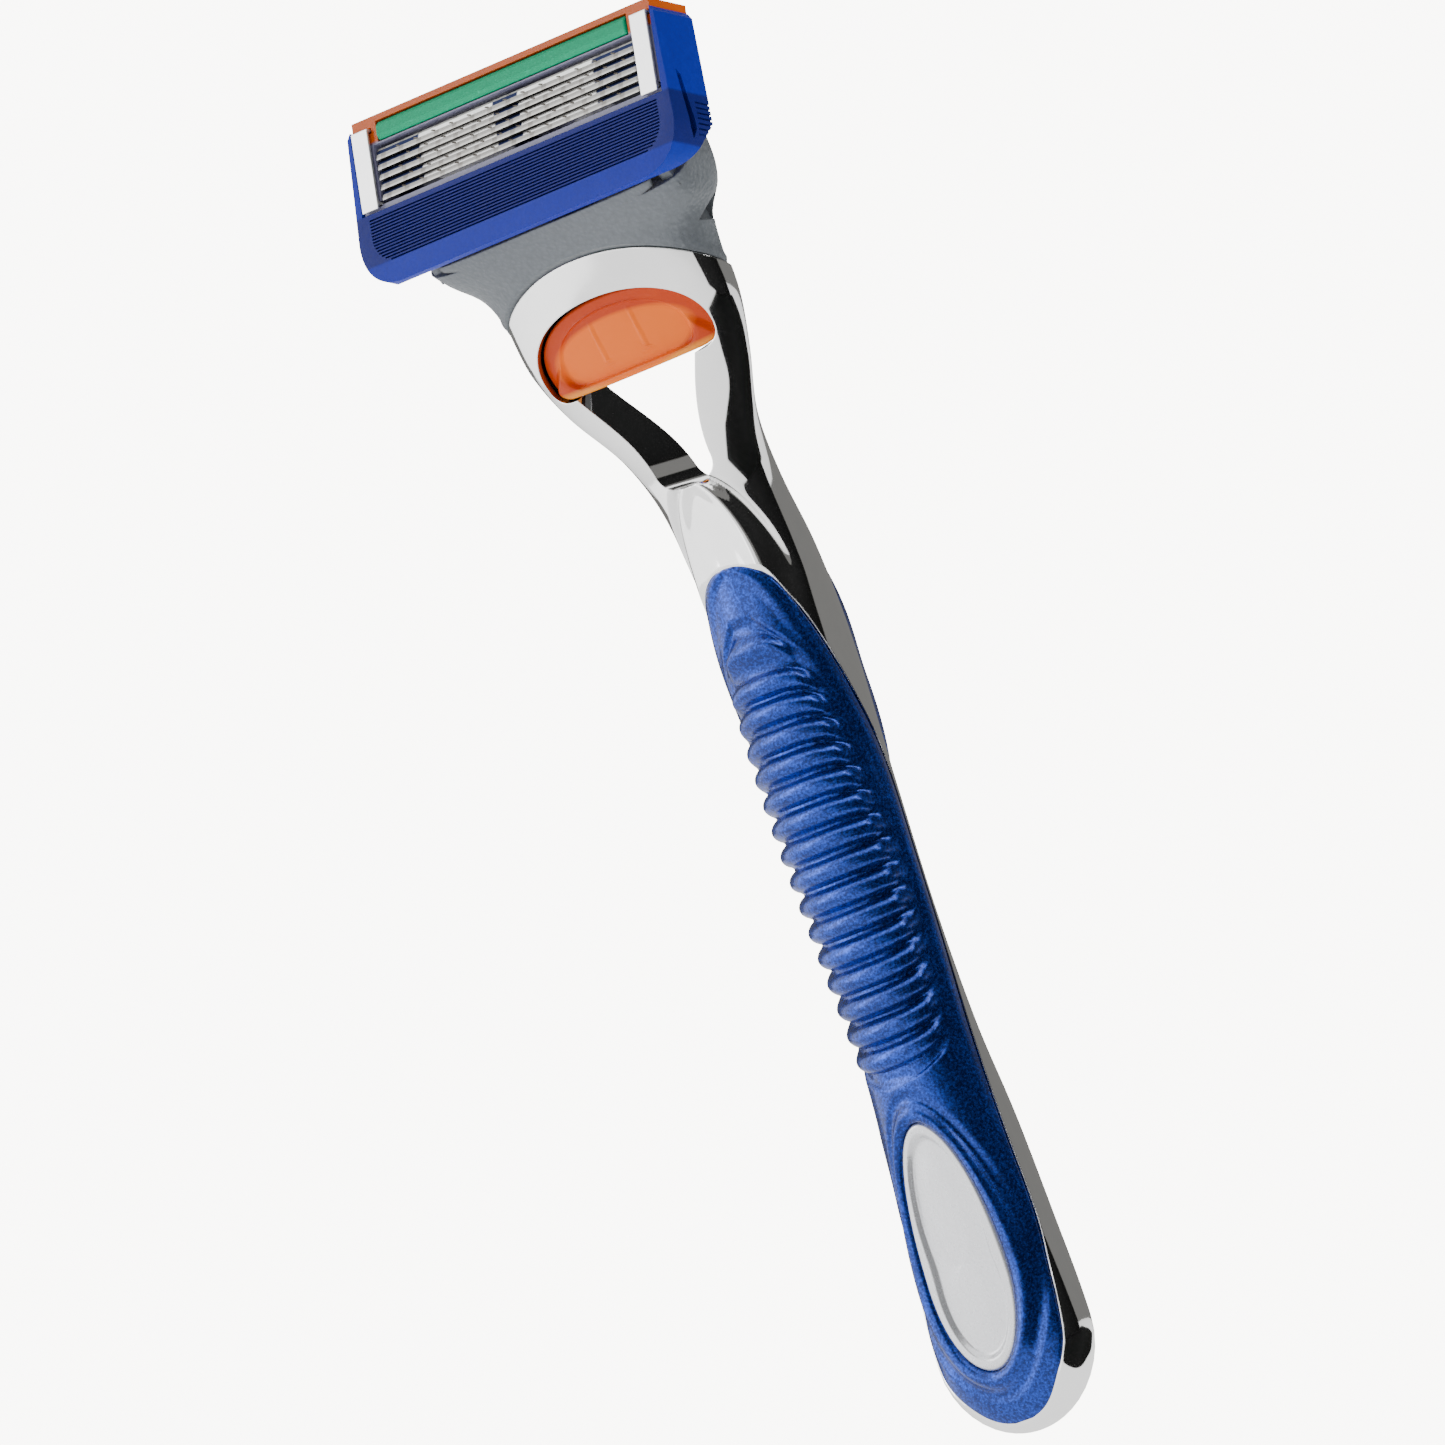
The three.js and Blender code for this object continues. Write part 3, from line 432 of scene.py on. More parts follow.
def carved(bm, *steps):
    """Cuts, joins or intersects a solid with others, one after another."""
    body = scrap(bm)
    others = []
    for operation, other in steps:
        if operation == "BEVEL":
            modifier = body.modifiers.new("round", "BEVEL")
            modifier.width, modifier.segments = other
            modifier.limit_method = "ANGLE"
            modifier.angle_limit = math.radians(30)
            continue
        others.append(scrap(other))
        modifier = body.modifiers.new("cut", "BOOLEAN")
        modifier.operation = operation
        modifier.solver = "EXACT"
        modifier.use_self = operation != "INTERSECT"
        modifier.object = others[-1]
    bpy.context.view_layer.update()
    graph = bpy.context.evaluated_depsgraph_get()
    mesh = bpy.data.meshes.new_from_object(body.evaluated_get(graph))
    result = bmesh.new()
    result.from_mesh(mesh)
    for thing in (body, *others):
        data = thing.data
        bpy.data.objects.remove(thing)
        bpy.data.meshes.remove(data)
    bpy.data.meshes.remove(mesh)
    if not result.faces:
        raise RuntimeError("a cut left nothing of the piece")
    return result


def piece(name, bm, material, body, slot, *nodes, crease=32):
    """Finishes a mesh as a named piece that rides on a body and stands for its CAD nodes."""
    bmesh.ops.transform(bm, matrix=TO_ROW, verts=bm.verts)
    mesh = bpy.data.meshes.new(name)
    bm.to_mesh(mesh)
    bm.free()
    mesh.shade_smooth()
    mesh.set_sharp_from_angle(angle=math.radians(crease))
    mesh.materials.append(material)
    made = bpy.data.objects.new(name, mesh)
    bpy.context.scene.collection.objects.link(made)
    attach(made, body)
    if nodes:
        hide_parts(*nodes)
    return made


def dress(node, material, round_edges=0.1):
    """Gives a CAD node its finish and soft edges."""
    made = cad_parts[node]
    made.data.materials.clear()
    made.data.materials.append(material)
    merge = made.modifiers.new("merge", "WELD")
    merge.merge_threshold = 1e-6
    edges = made.modifiers.new("edges", "BEVEL")
    edges.width = round_edges * MM
    edges.segments = 2
    edges.limit_method = "ANGLE"
    edges.angle_limit = math.radians(40)


# ------------------------------------------------------------------ shader tools


class Value:
    """A number socket that takes part in arithmetic by adding Math nodes."""

    def __init__(self, graph, socket):
        self.graph = graph
        self.socket = socket

    def with_math(self, operation, a, b=None):
        inputs = {0: a} if b is None else {0: a, 1: b}
        return self.graph.add("ShaderNodeMath", {"operation": operation}, inputs)

    def __add__(self, other):
        return self.with_math("ADD", self, other)

    def __radd__(self, other):
        return self.with_math("ADD", other, self)

    def __sub__(self, other):
        return self.with_math("SUBTRACT", self, other)

    def __rsub__(self, other):
        return self.with_math("SUBTRACT", other, self)

    def __mul__(self, other):
        return self.with_math("MULTIPLY", self, other)

    def __rmul__(self, other):
        return self.with_math("MULTIPLY", other, self)

    def __truediv__(self, other):
        return self.with_math("DIVIDE", self, other)

    def fract(self):
        return self.with_math("FRACT", self)

    def below(self, limit):
        return self.with_math("LESS_THAN", self, limit)

    def distance_to(self, place):
        return self.with_math("ABSOLUTE", self - place)


class Graph:
    """The nodes of one material or world."""

    def __init__(self, name, family="materials"):
        self.owner = getattr(bpy.data, family).new(name)
        self.owner.use_nodes = True
        self.tree = self.owner.node_tree
        self.tree.nodes.clear()

    def add(self, kind, settings=None, inputs=None, output=0):
        """Adds a node: settings first, then its inputs, and returns one output."""
        node = self.tree.nodes.new(kind)
        for name, value in (settings or {}).items():
            setattr(node, name, value)
        for name, value in (inputs or {}).items():
            if isinstance(value, Value):
                self.tree.links.new(value.socket, node.inputs[name])
            else:
                node.inputs[name].default_value = value
        return Value(self, node.outputs[output]) if len(node.outputs) else None

    def place(self, scale=(1, 1, 1)):
        """Object coordinates, stretched."""
        here = self.add("ShaderNodeTexCoord", output="Object")
        return self.add("ShaderNodeMapping", {}, {"Vector": here, "Scale": scale})

    def noise(self, scale, detail=3.0, stretch=(1, 1, 1), rough=0.5):
        inputs = {"Vector": self.place(stretch), "Scale": scale, "Detail": detail, "Roughness": rough}
        return self.add("ShaderNodeTexNoise", {}, inputs)

    def cells(self, scale):
        inputs = {"Vector": self.place(), "Scale": scale}
        return self.add("ShaderNodeTexVoronoi", {"feature": "SMOOTH_F1"}, inputs)

    def axis(self, letter):
        here = self.add("ShaderNodeTexCoord", output="Object")
        return self.add("ShaderNodeSeparateXYZ", {}, {0: here}, output=letter)

    def height_in(self, frame_matrix):
        """Height in one of the razor's leaning frames, in mm."""
        up = frame_matrix.to_3x3() @ Vector((0, 0, 1))
        foot = frame_matrix.to_translation()
        y = self.axis("Y") * 1000 - foot.y
        z = self.axis("Z") * 1000 - (foot.z - NECK_HEIGHT)
        return y * up.y + z * up.z

    def step(self, low, high, value):
        """0 below low, 1 above high, with an even slope between."""
        inputs = {0: value, 1: low, 2: high, 3: 0.0, 4: 1.0}
        return self.add("ShaderNodeMapRange", {"clamp": True}, inputs)

    def mix(self, share, a, b):
        """A colour between a and b."""
        settings = {"data_type": "RGBA", "clamp_factor": True}
        return self.add("ShaderNodeMix", settings, {0: share, 6: a, 7: b}, output=2)

    def rounded(self, radius):
        """Normals that turn softly over edges."""
        return self.add("ShaderNodeBevel", {"samples": 4}, {"Radius": radius * MM})

    def relief(self, height, depth, strength=1.0, normal=None):
        inputs = {"Height": height, "Distance": depth * MM, "Strength": strength}
        if normal is not None:
            inputs["Normal"] = normal
        return self.add("ShaderNodeBump", {}, inputs)

    def surface(self, inputs):
        """The shader itself, and the finished material."""
        shader = self.add("ShaderNodeBsdfPrincipled", {}, inputs)
        self.add("ShaderNodeOutputMaterial", {}, {"Surface": shader})
        return self.owner


def rgb(colour):
    return (colour[0], colour[1], colour[2], 1.0)


def shade(colour, factor):
    return tuple(clamp(c * factor) for c in colour[:3]) + (1.0,)


# ------------------------------------------------------------------ finishes


@lru_cache(maxsize=None)
def chrome():
    """Bright plating with faint wipe marks."""
    g = Graph("chrome_plating")
    wipe = g.noise(90, 4, (1, 1, 0.15))
    fine = g.noise(900, 2)
    tint = g.mix(fine, (0.84, 0.845, 0.85, 1), (0.9, 0.9, 0.89, 1))
    return g.surface({
        "Base Color": tint,
        "Metallic": 1.0,
        "Roughness": 0.03 + 0.05 * wipe,
        "Normal": g.relief(wipe, 0.004, 0.25, g.rounded(0.18)),
    })


@lru_cache(maxsize=None)
def grip_elastomer():
    """Pearl blue elastomer: fine bright flakes in a deep ground, and a light orange peel."""
    g = Graph("grip_elastomer")
    colour = bpy.context.scene.razor_colours.grip
    flakes = g.noise(3600, 2, rough=0.7)
    cloud = g.noise(160, 3)
    share = (flakes - 0.42) * 3.2 + (cloud - 0.5) * 0.6
    tint = g.mix(share, shade(colour, 0.5), shade(colour, 2.2))
    peel = g.noise(1500, 3)
    return g.surface({
        "Base Color": tint,
        "Metallic": 0.8,
        "Roughness": 0.23 + 0.12 * flakes,
        "Coat Weight": 0.25,
        "Coat Roughness": 0.22,
        "Normal": g.relief(peel, 0.02, 0.6),
    })


@lru_cache(maxsize=None)
def badge_enamel():
    """Satin white with a silver cast."""
    g = Graph("badge_enamel")
    colour = bpy.context.scene.razor_colours.badge
    fine = g.noise(1800, 3)
    return g.surface({
        "Base Color": g.mix(fine, shade(colour, 0.97), rgb(colour)),
        "Metallic": 0.5,
        "Roughness": 0.24 + 0.06 * fine,
        "Coat Weight": 0.5,
        "Coat Roughness": 0.06,
        "Normal": g.relief(fine, 0.002, 0.3),
    })


@lru_cache(maxsize=None)
def dark_plastic():
    g = Graph("dark_plastic")
    grain = g.noise(2600, 3)
    return g.surface({
        "Base Color": g.mix(grain, (0.012, 0.013, 0.015, 1), (0.03, 0.031, 0.034, 1)),
        "Roughness": 0.35 + 0.2 * grain,
        "Normal": g.relief(grain, 0.01, 0.5),
    })


@lru_cache(maxsize=None)
def spring_wire():
    g = Graph("spring_wire")
    drawn = g.noise(700, 3, (1, 1, 6))
    return g.surface({
        "Base Color": g.mix(drawn, (0.5, 0.49, 0.47, 1), (0.68, 0.67, 0.65, 1)),
        "Metallic": 1.0,
        "Roughness": 0.2 + 0.15 * drawn,
    })


@lru_cache(maxsize=None)
def button_plastic():
    """Tinted orange, a little clear: lighter and more orange over the sunken thumb rest and along the
    bottom edge.
    """
    g = Graph("button_plastic")
    colour = bpy.context.scene.razor_colours.button
    rise = g.height_in(HEAD)
    across = g.axis("X") * 1000 / 8.9
    over = (rise + 5.7) / 3.3
    rest = g.step(-1.12, -0.86, 0 - across * across - over * over)
    cloud = g.noise(350, 2)
    rim = g.mix(g.step(-8.5, -8.0, rise), (0.95, 0.3, 0.02, 1), rgb(colour))
    return g.surface({
        "Base Color": g.mix(rest + (cloud - 0.5) * 0.2, rim, (1.0, 0.17, 0.0, 1)),
        "Roughness": 0.3 + 0.1 * g.noise(1400, 2),
        "Specular IOR Level": 0.2,
        "Normal": g.relief(g.noise(2600, 2), 0.004, 0.5),
    })


@lru_cache(maxsize=None)
def yoke_plastic():
    """Moulded grey with a pebbled grain."""
    g = Graph("yoke_plastic")
    colour = bpy.context.scene.razor_colours.yoke
    pebble = g.cells(2300)
    fine = g.noise(3200, 2)
    height = pebble * 0.8 + fine * 0.5
    return g.surface({
        "Base Color": g.mix(pebble, shade(colour, 1.12), shade(colour, 0.86)),
        "Roughness": 0.5 - 0.15 * fine,
        "Metallic": 0.15,
        "Normal": g.relief(height, 0.09, 1.0, g.rounded(0.3)),
    })


@lru_cache(maxsize=None)
def frame_plastic():
    """Orange moulding of the cartridge, slightly clear."""
    g = Graph("frame_plastic")
    colour = bpy.context.scene.razor_colours.cartridge
    cloud = g.noise(420, 3)
    orange = g.mix(cloud, shade(colour, 0.8), shade(colour, 1.25))
    clear = g.mix(cloud, (0.2, 0.2, 0.33, 1), (0.34, 0.34, 0.48, 1))
    return g.surface({
        "Base Color": g.mix(g.step(9.5, 9.8, g.height_in(UNIT)), clear, orange),
        "Roughness": 0.22 + 0.12 * cloud,
        "Specular IOR Level": 0.2,
        "Normal": g.relief(g.noise(1500, 3), 0.02, 0.5),
    })


@lru_cache(maxsize=None)
def guard_elastomer():
    """Royal blue elastomer with a fine matt bloom, and painted shade that darkens the row of fins."""
    g = Graph("guard_elastomer")
    colour = bpy.context.scene.razor_colours.guard
    bloom = g.noise(2100, 4)
    cloud = g.noise(260, 3)
    up = g.height_in(UNIT)
    # Painted shade: the row of fins is pulled most of the way to deep navy, as shade in the slots between
    # the fins.
    fins = g.step(-2.95, -2.7, up) * g.step(-2.7, -2.4, 0 - up)
    tint = g.mix(bloom * 0.7 + cloud * 0.4, shade(colour, 0.75), shade(colour, 1.35))
    return g.surface({
        "Base Color": g.mix(fins * 0.7, tint, (0.002, 0.005, 0.075, 1)),
        "Roughness": 0.42 + 0.16 * bloom,
        "Specular IOR Level": 0.16,
        "Normal": g.relief(bloom, 0.025, 0.7),
    })


@lru_cache(maxsize=None)
def strip_gel():
    """The lubricating strip: waxy mint with a rough cut face."""
    g = Graph("strip_gel")
    colour = bpy.context.scene.razor_colours.strip
    rough = g.noise(1300, 5, (0.6, 1, 1), 0.7)
    specks = (g.noise(2600, 2) - 0.62) * 4
    return g.surface({
        "Base Color": g.mix(specks, rgb(colour), (0.02, 0.6, 0.33, 1)),
        "Roughness": 0.5 + 0.25 * rough,
        "Specular IOR Level": 0.15,
        "Normal": g.relief(rough, 0.09, 0.8),
    })


@lru_cache(maxsize=None)
def blade_steel():
    """Ground blade steel with weld marks in a row, and a painted highlight behind each edge that turns to
    painted dark shade at the middle and the ends.
    """
    g = Graph("blade_steel")
    brushed = g.noise(500, 4, (0.06, 1, 3))
    across = (g.axis("X") / 0.0024 + 50.3).fract().distance_to(0.5)
    weld_mark = across.below(0.13)
    tint = g.mix(brushed, (0.2, 0.195, 0.185, 1), (0.34, 0.335, 0.32, 1))
    # Painted light on the band behind each edge: a bright painted highlight between the middle and the
    # ends, and painted dark shade at the middle and the ends.
    reach = (g.axis("X") * 1000).distance_to(0)
    glint_span = g.step(1.6, 1.75, reach) * g.step(-11.7, -11.5, 0 - reach)
    turn = ((g.height_in(UNIT) - BLADE_FIRST) / BLADE_PITCH).fract()
    behind = g.step(0.52, 0.56, turn) * g.step(-0.95, -0.91, 0 - turn)
    painted_glint = g.mix(glint_span, (0.012, 0.018, 0.06, 1), (0.85, 0.85, 0.84, 1))
    return g.surface({
        "Base Color": g.mix(behind, g.mix(weld_mark * 0.5, tint, (0.1, 0.09, 0.08, 1)), painted_glint),
        "Metallic": 1.0,
        "Roughness": 0.24 + 0.14 * brushed,
        "Normal": g.relief(brushed - weld_mark * 0.6, 0.008, 0.5),
    })


@lru_cache(maxsize=None)
def weld_steel():
    """Heat marked steel of the welds."""
    g = Graph("weld_steel")
    ring = g.noise(2400, 3)
    return g.surface({
        "Base Color": g.mix(ring, (0.05, 0.045, 0.04, 1), (0.16, 0.14, 0.12, 1)),
        "Metallic": 0.9,
        "Roughness": 0.4 + 0.1 * ring,
    })


@lru_cache(maxsize=None)
def clip_metal():
    """Soft bright aluminium, brushed along the clip."""
    g = Graph("clip_metal")
    brushed = g.noise(900, 4, (3, 3, 0.1))
    return g.surface({
        "Base Color": g.mix(brushed, (0.7, 0.7, 0.72, 1), (0.88, 0.88, 0.88, 1)),
        "Metallic": 0.85,
        "Roughness": 0.32 + 0.15 * brushed,
        "Normal": g.relief(brushed, 0.006, 0.5, g.rounded(0.1)),
    })


# ------------------------------------------------------------------ handle


TAIL_STEPS = (0, 4, 8, 13, 19, 26, 34, 43, 52, 61, 70, 80)  # degrees round the tail
TAIL_ARC = [TAIL_HALF * (1 - math.cos(math.radians(a))) for a in TAIL_STEPS]


def levels(top, step):
    """Heights up the handle: equal arcs round the tail, then even steps."""
    count = round((top - TAIL_HALF) / step)
    return TAIL_ARC + [lerp(TAIL_HALF, top, k / count) for k in range(count + 1)]


def seam_cutter(lift):
    """All that lies above the head's seam."""
    bm = bmesh.new()
    made = bmesh.ops.create_cone(
        bm, cap_ends=True, segments=360, depth=60,
        radius1=SEAM_RADIUS + lift, radius2=SEAM_RADIUS + lift)
    slope = math.atan(SEAM_SLOPE)
    turn = (
        Matrix.Translation((0, SEAM_FRONT, SEAM_RIDGE)) @ Matrix.Rotation(-slope, 4, "X")
        @ Matrix.Translation((0, 0, -SEAM_RADIUS)) @ Matrix.Rotation(math.pi / 2, 4, "X"))
    bmesh.ops.transform(bm, matrix=turn, verts=made["verts"])
    return carved(block(-30, 30, -30, 30, NECK_HEIGHT + 8, NECK_HEIGHT + 60), ("DIFFERENCE", bm))


def grip_cutter():
    """All that lies in front of the grip line."""
    line = [(sampled(GRIP_LINE, z)[0], z) for z in levels(GRIP_TOP, 1.0) if z > GRIP_LINE[0][0]]
    foot = [(-30, 0.2), (GRIP_LINE[0][1], 0.2), (GRIP_LINE[0][1], GRIP_LINE[0][0])]
    return prism(foot + line + [(-30, GRIP_TOP)], -30, 30, ALONG_X)


def inner_loft(inset, low, high):
    heights = [lerp(low, high, k / 24) for k in range(25)]
    return loft(heights, 96, lambda z, a: on_ring(z, a, inset))


def tongue_half(height):
    """Half width of the tongue that runs up to the window's foot."""
    share = max(height - TONGUE_FOOT, 0) / TONGUE_TALL
    return TONGUE_HALF * math.sqrt(max(1 - share**2, 0))


def neck_surface(height, angle):
    """The handle's skin with the creases on both sides of the tongue."""
    point = on_ring(height, angle)
    if math.sin(angle) > 0.2 or not CREASE_LOW < height < CREASE_HIGH:
        return point
    beyond = abs(point.x) - tongue_half(height)
    fade = smooth_step(CREASE_LOW, 90, height)
    shoulder = smooth_step(-2.6, -0.9, beyond) * (1 - smooth_step(-0.9, 0.1, beyond))
    groove = 0.75 * bump(beyond, 0.35, 1.0) - 0.35 * shoulder
    return point + Vector((0, groove * fade, 0))


def build_handle_shell():
    """The chrome frame: tail, sides, neck with its window, and the head shell."""
    coarse = [z for z in levels(SHELL_TOP, 0.8) if not CREASE_LOW < z < CREASE_HIGH]
    fine = [CREASE_LOW + 0.25 * k for k in range(81)]
    body = loft(sorted(coarse + fine), 180, neck_surface)
    oval = [(REAR_HALF * 1.06 * math.cos(a), REAR_MIDDLE + (REAR_TALL + 0.3) * math.sin(a))
            for a in (2 * math.pi * k / 96 for k in range(96))]
    rear_seat = carved(prism(oval, 3.5, 30, ALONG_Y), ("DIFFERENCE", inner_loft(1.6, 50, 100)))
    cavity = inner_loft(SHELL_WALL, NECK_HEIGHT + 4, SHELL_TOP + 0.5)
    floor = HEAD @ Vector((0, 0, SHELL_FLOOR))
    cut = bmesh.ops.bisect_plane(
        cavity, geom=cavity.verts[:] + cavity.edges[:] + cavity.faces[:], dist=1e-5,
        plane_co=floor, plane_no=HEAD.to_3x3() @ Vector((0, 0, 1)), clear_inner=True)
    rim = [e for e in cut["geom_cut"] if isinstance(e, bmesh.types.BMEdge)]
    bmesh.ops.holes_fill(cavity, edges=rim, sides=0)
    bmesh.ops.recalc_face_normals(cavity, faces=cavity.faces)
    body = carved(
        body,
        ("DIFFERENCE", grip_cutter()),
        ("DIFFERENCE", rear_seat),
        ("DIFFERENCE", prism(window_outline(), -30, 30, ALONG_Y)),
        ("DIFFERENCE", cavity),
        ("DIFFERENCE", prism(button_outline(0.15), -30, 0, HEAD @ ALONG_Y)),
        ("DIFFERENCE", seam_cutter(0)),
    )
    piece("handle_shell", body, chrome(), "handle", "chrome_plate", "handle_frame", crease=35)


def rib_relief(height, angle, sizes):
    """How far the grip's ribs stand out at a place."""
    side = sampled(RIB_SIDE, clamp(height, RIB_SIDE[0][0], RIB_SIDE[-1][0]))[0]
    across = clamp((math.degrees(angle) + 90) / max(side + 90, 1e-3), 0, 2)
    bend = clamp((height - 60) / 12, -1, 1) * 1.7 * across**3
    place = (height + bend - sizes.rib_first) / sizes.rib_pitch
    past_last = smooth_step(sizes.rib_count - 0.7, sizes.rib_count - 0.3, place)
    zone = smooth_step(-0.7, -0.3, place) * (1 - past_last)
    off = abs(place - round(place)) * sizes.rib_pitch / (0.86 * sizes.rib_pitch / 2)
    ridge = max(1 - off * off, 0) ** 0.75
    wide = bump(height + bend, 82.2, 2.1)
    inside = 1 - smooth_step(0.62, 1.02, across)
    ends = smooth_step(36.4, 37.6, height) * (1 - smooth_step(84.6, 85.6, height))
    basin = -sizes.rib_height * 0.95 * (1 - smooth_step(0.8, 1.08, across)) * ends
    ridge_top = max(zone * ridge, wide * 0.9)
    return basin + sizes.rib_height * 1.9 * ridge_top * inside * ends


def build_front_grip():
    """The ribbed elastomer grip, with its lip and the raised ring round the badge."""
    sizes = bpy.context.scene.razor_sizes
    rim = sizes.lip_radius
    half_columns = GRIP_COLUMNS / 2
    turned_in = 4 / GRIP_COLUMNS  # share of the columns that make the wall under the edge
    low, high = TAIL_RIM + 0.05, GRIP_TOP - 0.25
    heights = [low + (high - low) * (k / GRIP_ROWS) for k in range(GRIP_ROWS + 1)]
    start = [low + 0.35 * (k / 8) ** 2 for k in range(8)]
    heights = start + [z for z in heights if z > low + 0.36]

    def front(i, j):
        height = heights[j]
        share = (i - half_columns) / half_columns
        wall = max(0.0, (abs(share) - 1 + turned_in) / turned_in)
        flat = min(abs(share) / (1 - turned_in), 1.0)
        edge = edge_angle(height, GRIP_GAP)
        angle = -math.pi / 2 + flat * (edge + math.pi / 2)
        point = on_ring(height, angle)
        border = (point - on_ring(height, edge)).length
        end = min(height - low, (high - height) * 0.8)
        drop = max(round_over(border, rim), round_over(end, rim))
        lip = sizes.lip_height * bump(border, 1.5, 1.3) * smooth_step(26, 36, height)
        out = lip - drop + rib_relief(height, angle, sizes)
        egg = egg_distance(point.x, height)
        ring = 0.5 * bump(egg, 0.95, 1.35) - 0.25 * bump(egg, 2.6, 1.0)
        out += ring - 1.3 * (1 - smooth_step(-0.25, 0.2, egg))
        out -= 1.1 * wall
        point += out * ring_normal(height, angle)
        if share < 0:
            point.x = -point.x
        return point

    def back(i, j):
        a, b = front(0, j), front(GRIP_COLUMNS, j)
        return a.lerp(b, i / 4)

    bm = bmesh.new()
    grid(bm, GRIP_COLUMNS, len(heights) - 1, front)
    grid(bm, 4, len(heights) - 1, back)
    piece("front_grip_skin", weld(bm), grip_elastomer(), "handle", "blue_grip", "front_grip", crease=50)


def radial(outline, centre, rings, place, wall):
    """A closed plate over an outline: place(x, z, border, depth), and the same set back by wall."""
    bm = bmesh.new()
    count = len(outline)
    centre = Vector(centre)

    def spot(i, share, depth):
        edge = Vector(outline[i % count])
        here = centre.lerp(edge, share)
        return place(here.x, here.y, (here - edge).length, depth)

    def front(i, j):
        if j > rings:
            return spot(i, 1.0, wall)
        return spot(i, (j / rings) ** 0.8, 0.0)

    def back(i, j):
        return spot(i, j / 4, wall)

    grid(bm, count, rings + 1, front)
    grid(bm, count, 4, back)
    return weld(bm, fill=False)


def build_rear_grip():
    """The oval grip on the back, with shallow cross grooves."""
    outline = [(REAR_HALF * math.cos(a), REAR_MIDDLE + REAR_TALL * math.sin(a))
               for a in (2 * math.pi * k / 160 for k in range(160))]

    def place(x, z, border, depth):
        turn = 2 * math.pi * (z - REAR_MIDDLE) / REAR_GROOVE_PITCH
        groove = 0.3 * (0.5 + 0.5 * math.cos(turn)) ** 3
        within = smooth_step(2.0, 3.4, border) * (1 - smooth_step(11.5, 13.5, abs(z - REAR_MIDDLE)))
        swell = REAR_SWELL * bump(abs(x), 3.9, 3.2) * smooth_step(0.0, 2.2, border)
        down = 0.02 + round_over(border, 0.5) + groove * within + depth - swell
        half, _, _, square = section(z)
        share = clamp(x / half, -1, 1)
        angle = math.acos(math.copysign(abs(share) ** (square / 2), share))
        return on_ring(z, angle) - ring_normal(z, angle) * down

    body = radial(outline, (0, REAR_MIDDLE), 60, place, 1.3)
    piece("rear_grip_pad", body, grip_elastomer(), "handle", "blue_grip", "rear_grip", crease=50)


def build_badge():
    """The plain egg-shaped badge: a flat rim round a shallow dish."""

    def place(x, z, border, depth):
        y = front_y(x * 0.85, z) + 0.1
        dish = 0.6 * smooth_step(1.1, 1.8, border) - 0.1 * smooth_step(1.9, 5.5, border)
        return Vector((x, y + round_over(border, 0.35) + dish + depth, z))

    body = radial(egg_outline(-0.02, 160), (0, EGG_CENTRE + 1.5), 56, place, 1.1)
    piece("badge_plate", body, badge_enamel(), "handle", "badge_white", "badge", crease=50)


# ------------------------------------------------------------------ head


def on_head_front(x, w, inset):
    """Where the head's front lies over a point of the head's own frame."""
    v = -4.0
    for _ in range(6):
        spot = HEAD @ Vector((x, v, w))
        v += (front_y(x, spot.z, inset) - spot.y) / HEAD[1][1]
    return HEAD @ Vector((x, v, w))


def reach_table(outline, centre):
    """Distance from a centre to an outline at each whole degree."""
    angles = []
    for x, z in outline:
        offset = Vector((x - centre[0], z - centre[1]))
        angles.append((math.degrees(math.atan2(offset.y, offset.x)) % 360, offset.length))
    angles.sort()
    table = []
    for degree in range(361):
        after = next((k for k, (a, _) in enumerate(angles) if a >= degree % 360), 0)
        before = angles[after - 1]
        span = (angles[after][0] - before[0]) % 360 or 360
        table.append(lerp(before[1], angles[after][1], ((degree - before[0]) % 360) / span))
    return table


def build_button():
    """The release button: a rimmed shield with a sunken thumb rest and two faint ribs."""
    outline = button_outline(0.0, steps=28)
    centre = (0.0, -5.4)
    rest_centre = (0.0, -5.6)
    reach = reach_table(outline, rest_centre)
    shoulder = sorted((px, pw) for px, pw in outline if px >= 0 and pw > -6.4)

    def top_over(x):
        """Top of the outline over a place: what lies near it slides under the head's shell."""
        after = next((k for k, (px, _) in enumerate(shoulder) if px >= abs(x)), len(shoulder) - 1)
        a, b = shoulder[max(after - 1, 0)], shoulder[after]
        return lerp(a[1], b[1], clamp((abs(x) - a[0]) / max(b[0] - a[0], 1e-6)))

    def place(x, w, border, depth):
        angle = math.degrees(math.atan2(w - rest_centre[1], x - rest_centre[0])) % 360
        out = math.hypot(x - rest_centre[0], w - rest_centre[1])
        share = out / (lerp(reach[int(angle)], reach[int(angle) + 1], angle % 1) * 0.8)
        sunk = 0.75 * (1 - smooth_step(0.92, 1.0, share))
        sunk = sunk + 0.12 * (1 - smooth_step(0.99, 1.06, share))
        ribs = 0.16 * (bump(x, -2.6, 0.35) + bump(x, 2.6, 0.35)) * (1 - smooth_step(0.6, 0.9, share))
        crown = -0.25 * bump(out, 0, 9) * smooth_step(0.0, 0.6, sunk)
        tucked = 0.55 * (1 - smooth_step(2.9, 4.1, top_over(x) - w))
        down = 0.45 + max(tucked, sunk) + round_over(border, 0.45) - ribs + crown
        return on_head_front(x, w, down + depth)

    body = radial(outline, centre, 72, place, 0.7)
    piece("release_button_cap", body, button_plastic(), "button", "orange_button", "release_button",
          crease=50)


def ring_sector(inner, outer, start, end, x0, x1, matrix):
    """A piece of a ring about the pivot, angles in degrees from straight down to the back."""
    steps = max(4, round(abs(end - start) / 4))
    points = arc(outer, start - 90, end - 90, steps) + arc(inner, end - 90, start - 90, steps)
    return prism(points, x0, x1, matrix @ ALONG_X)


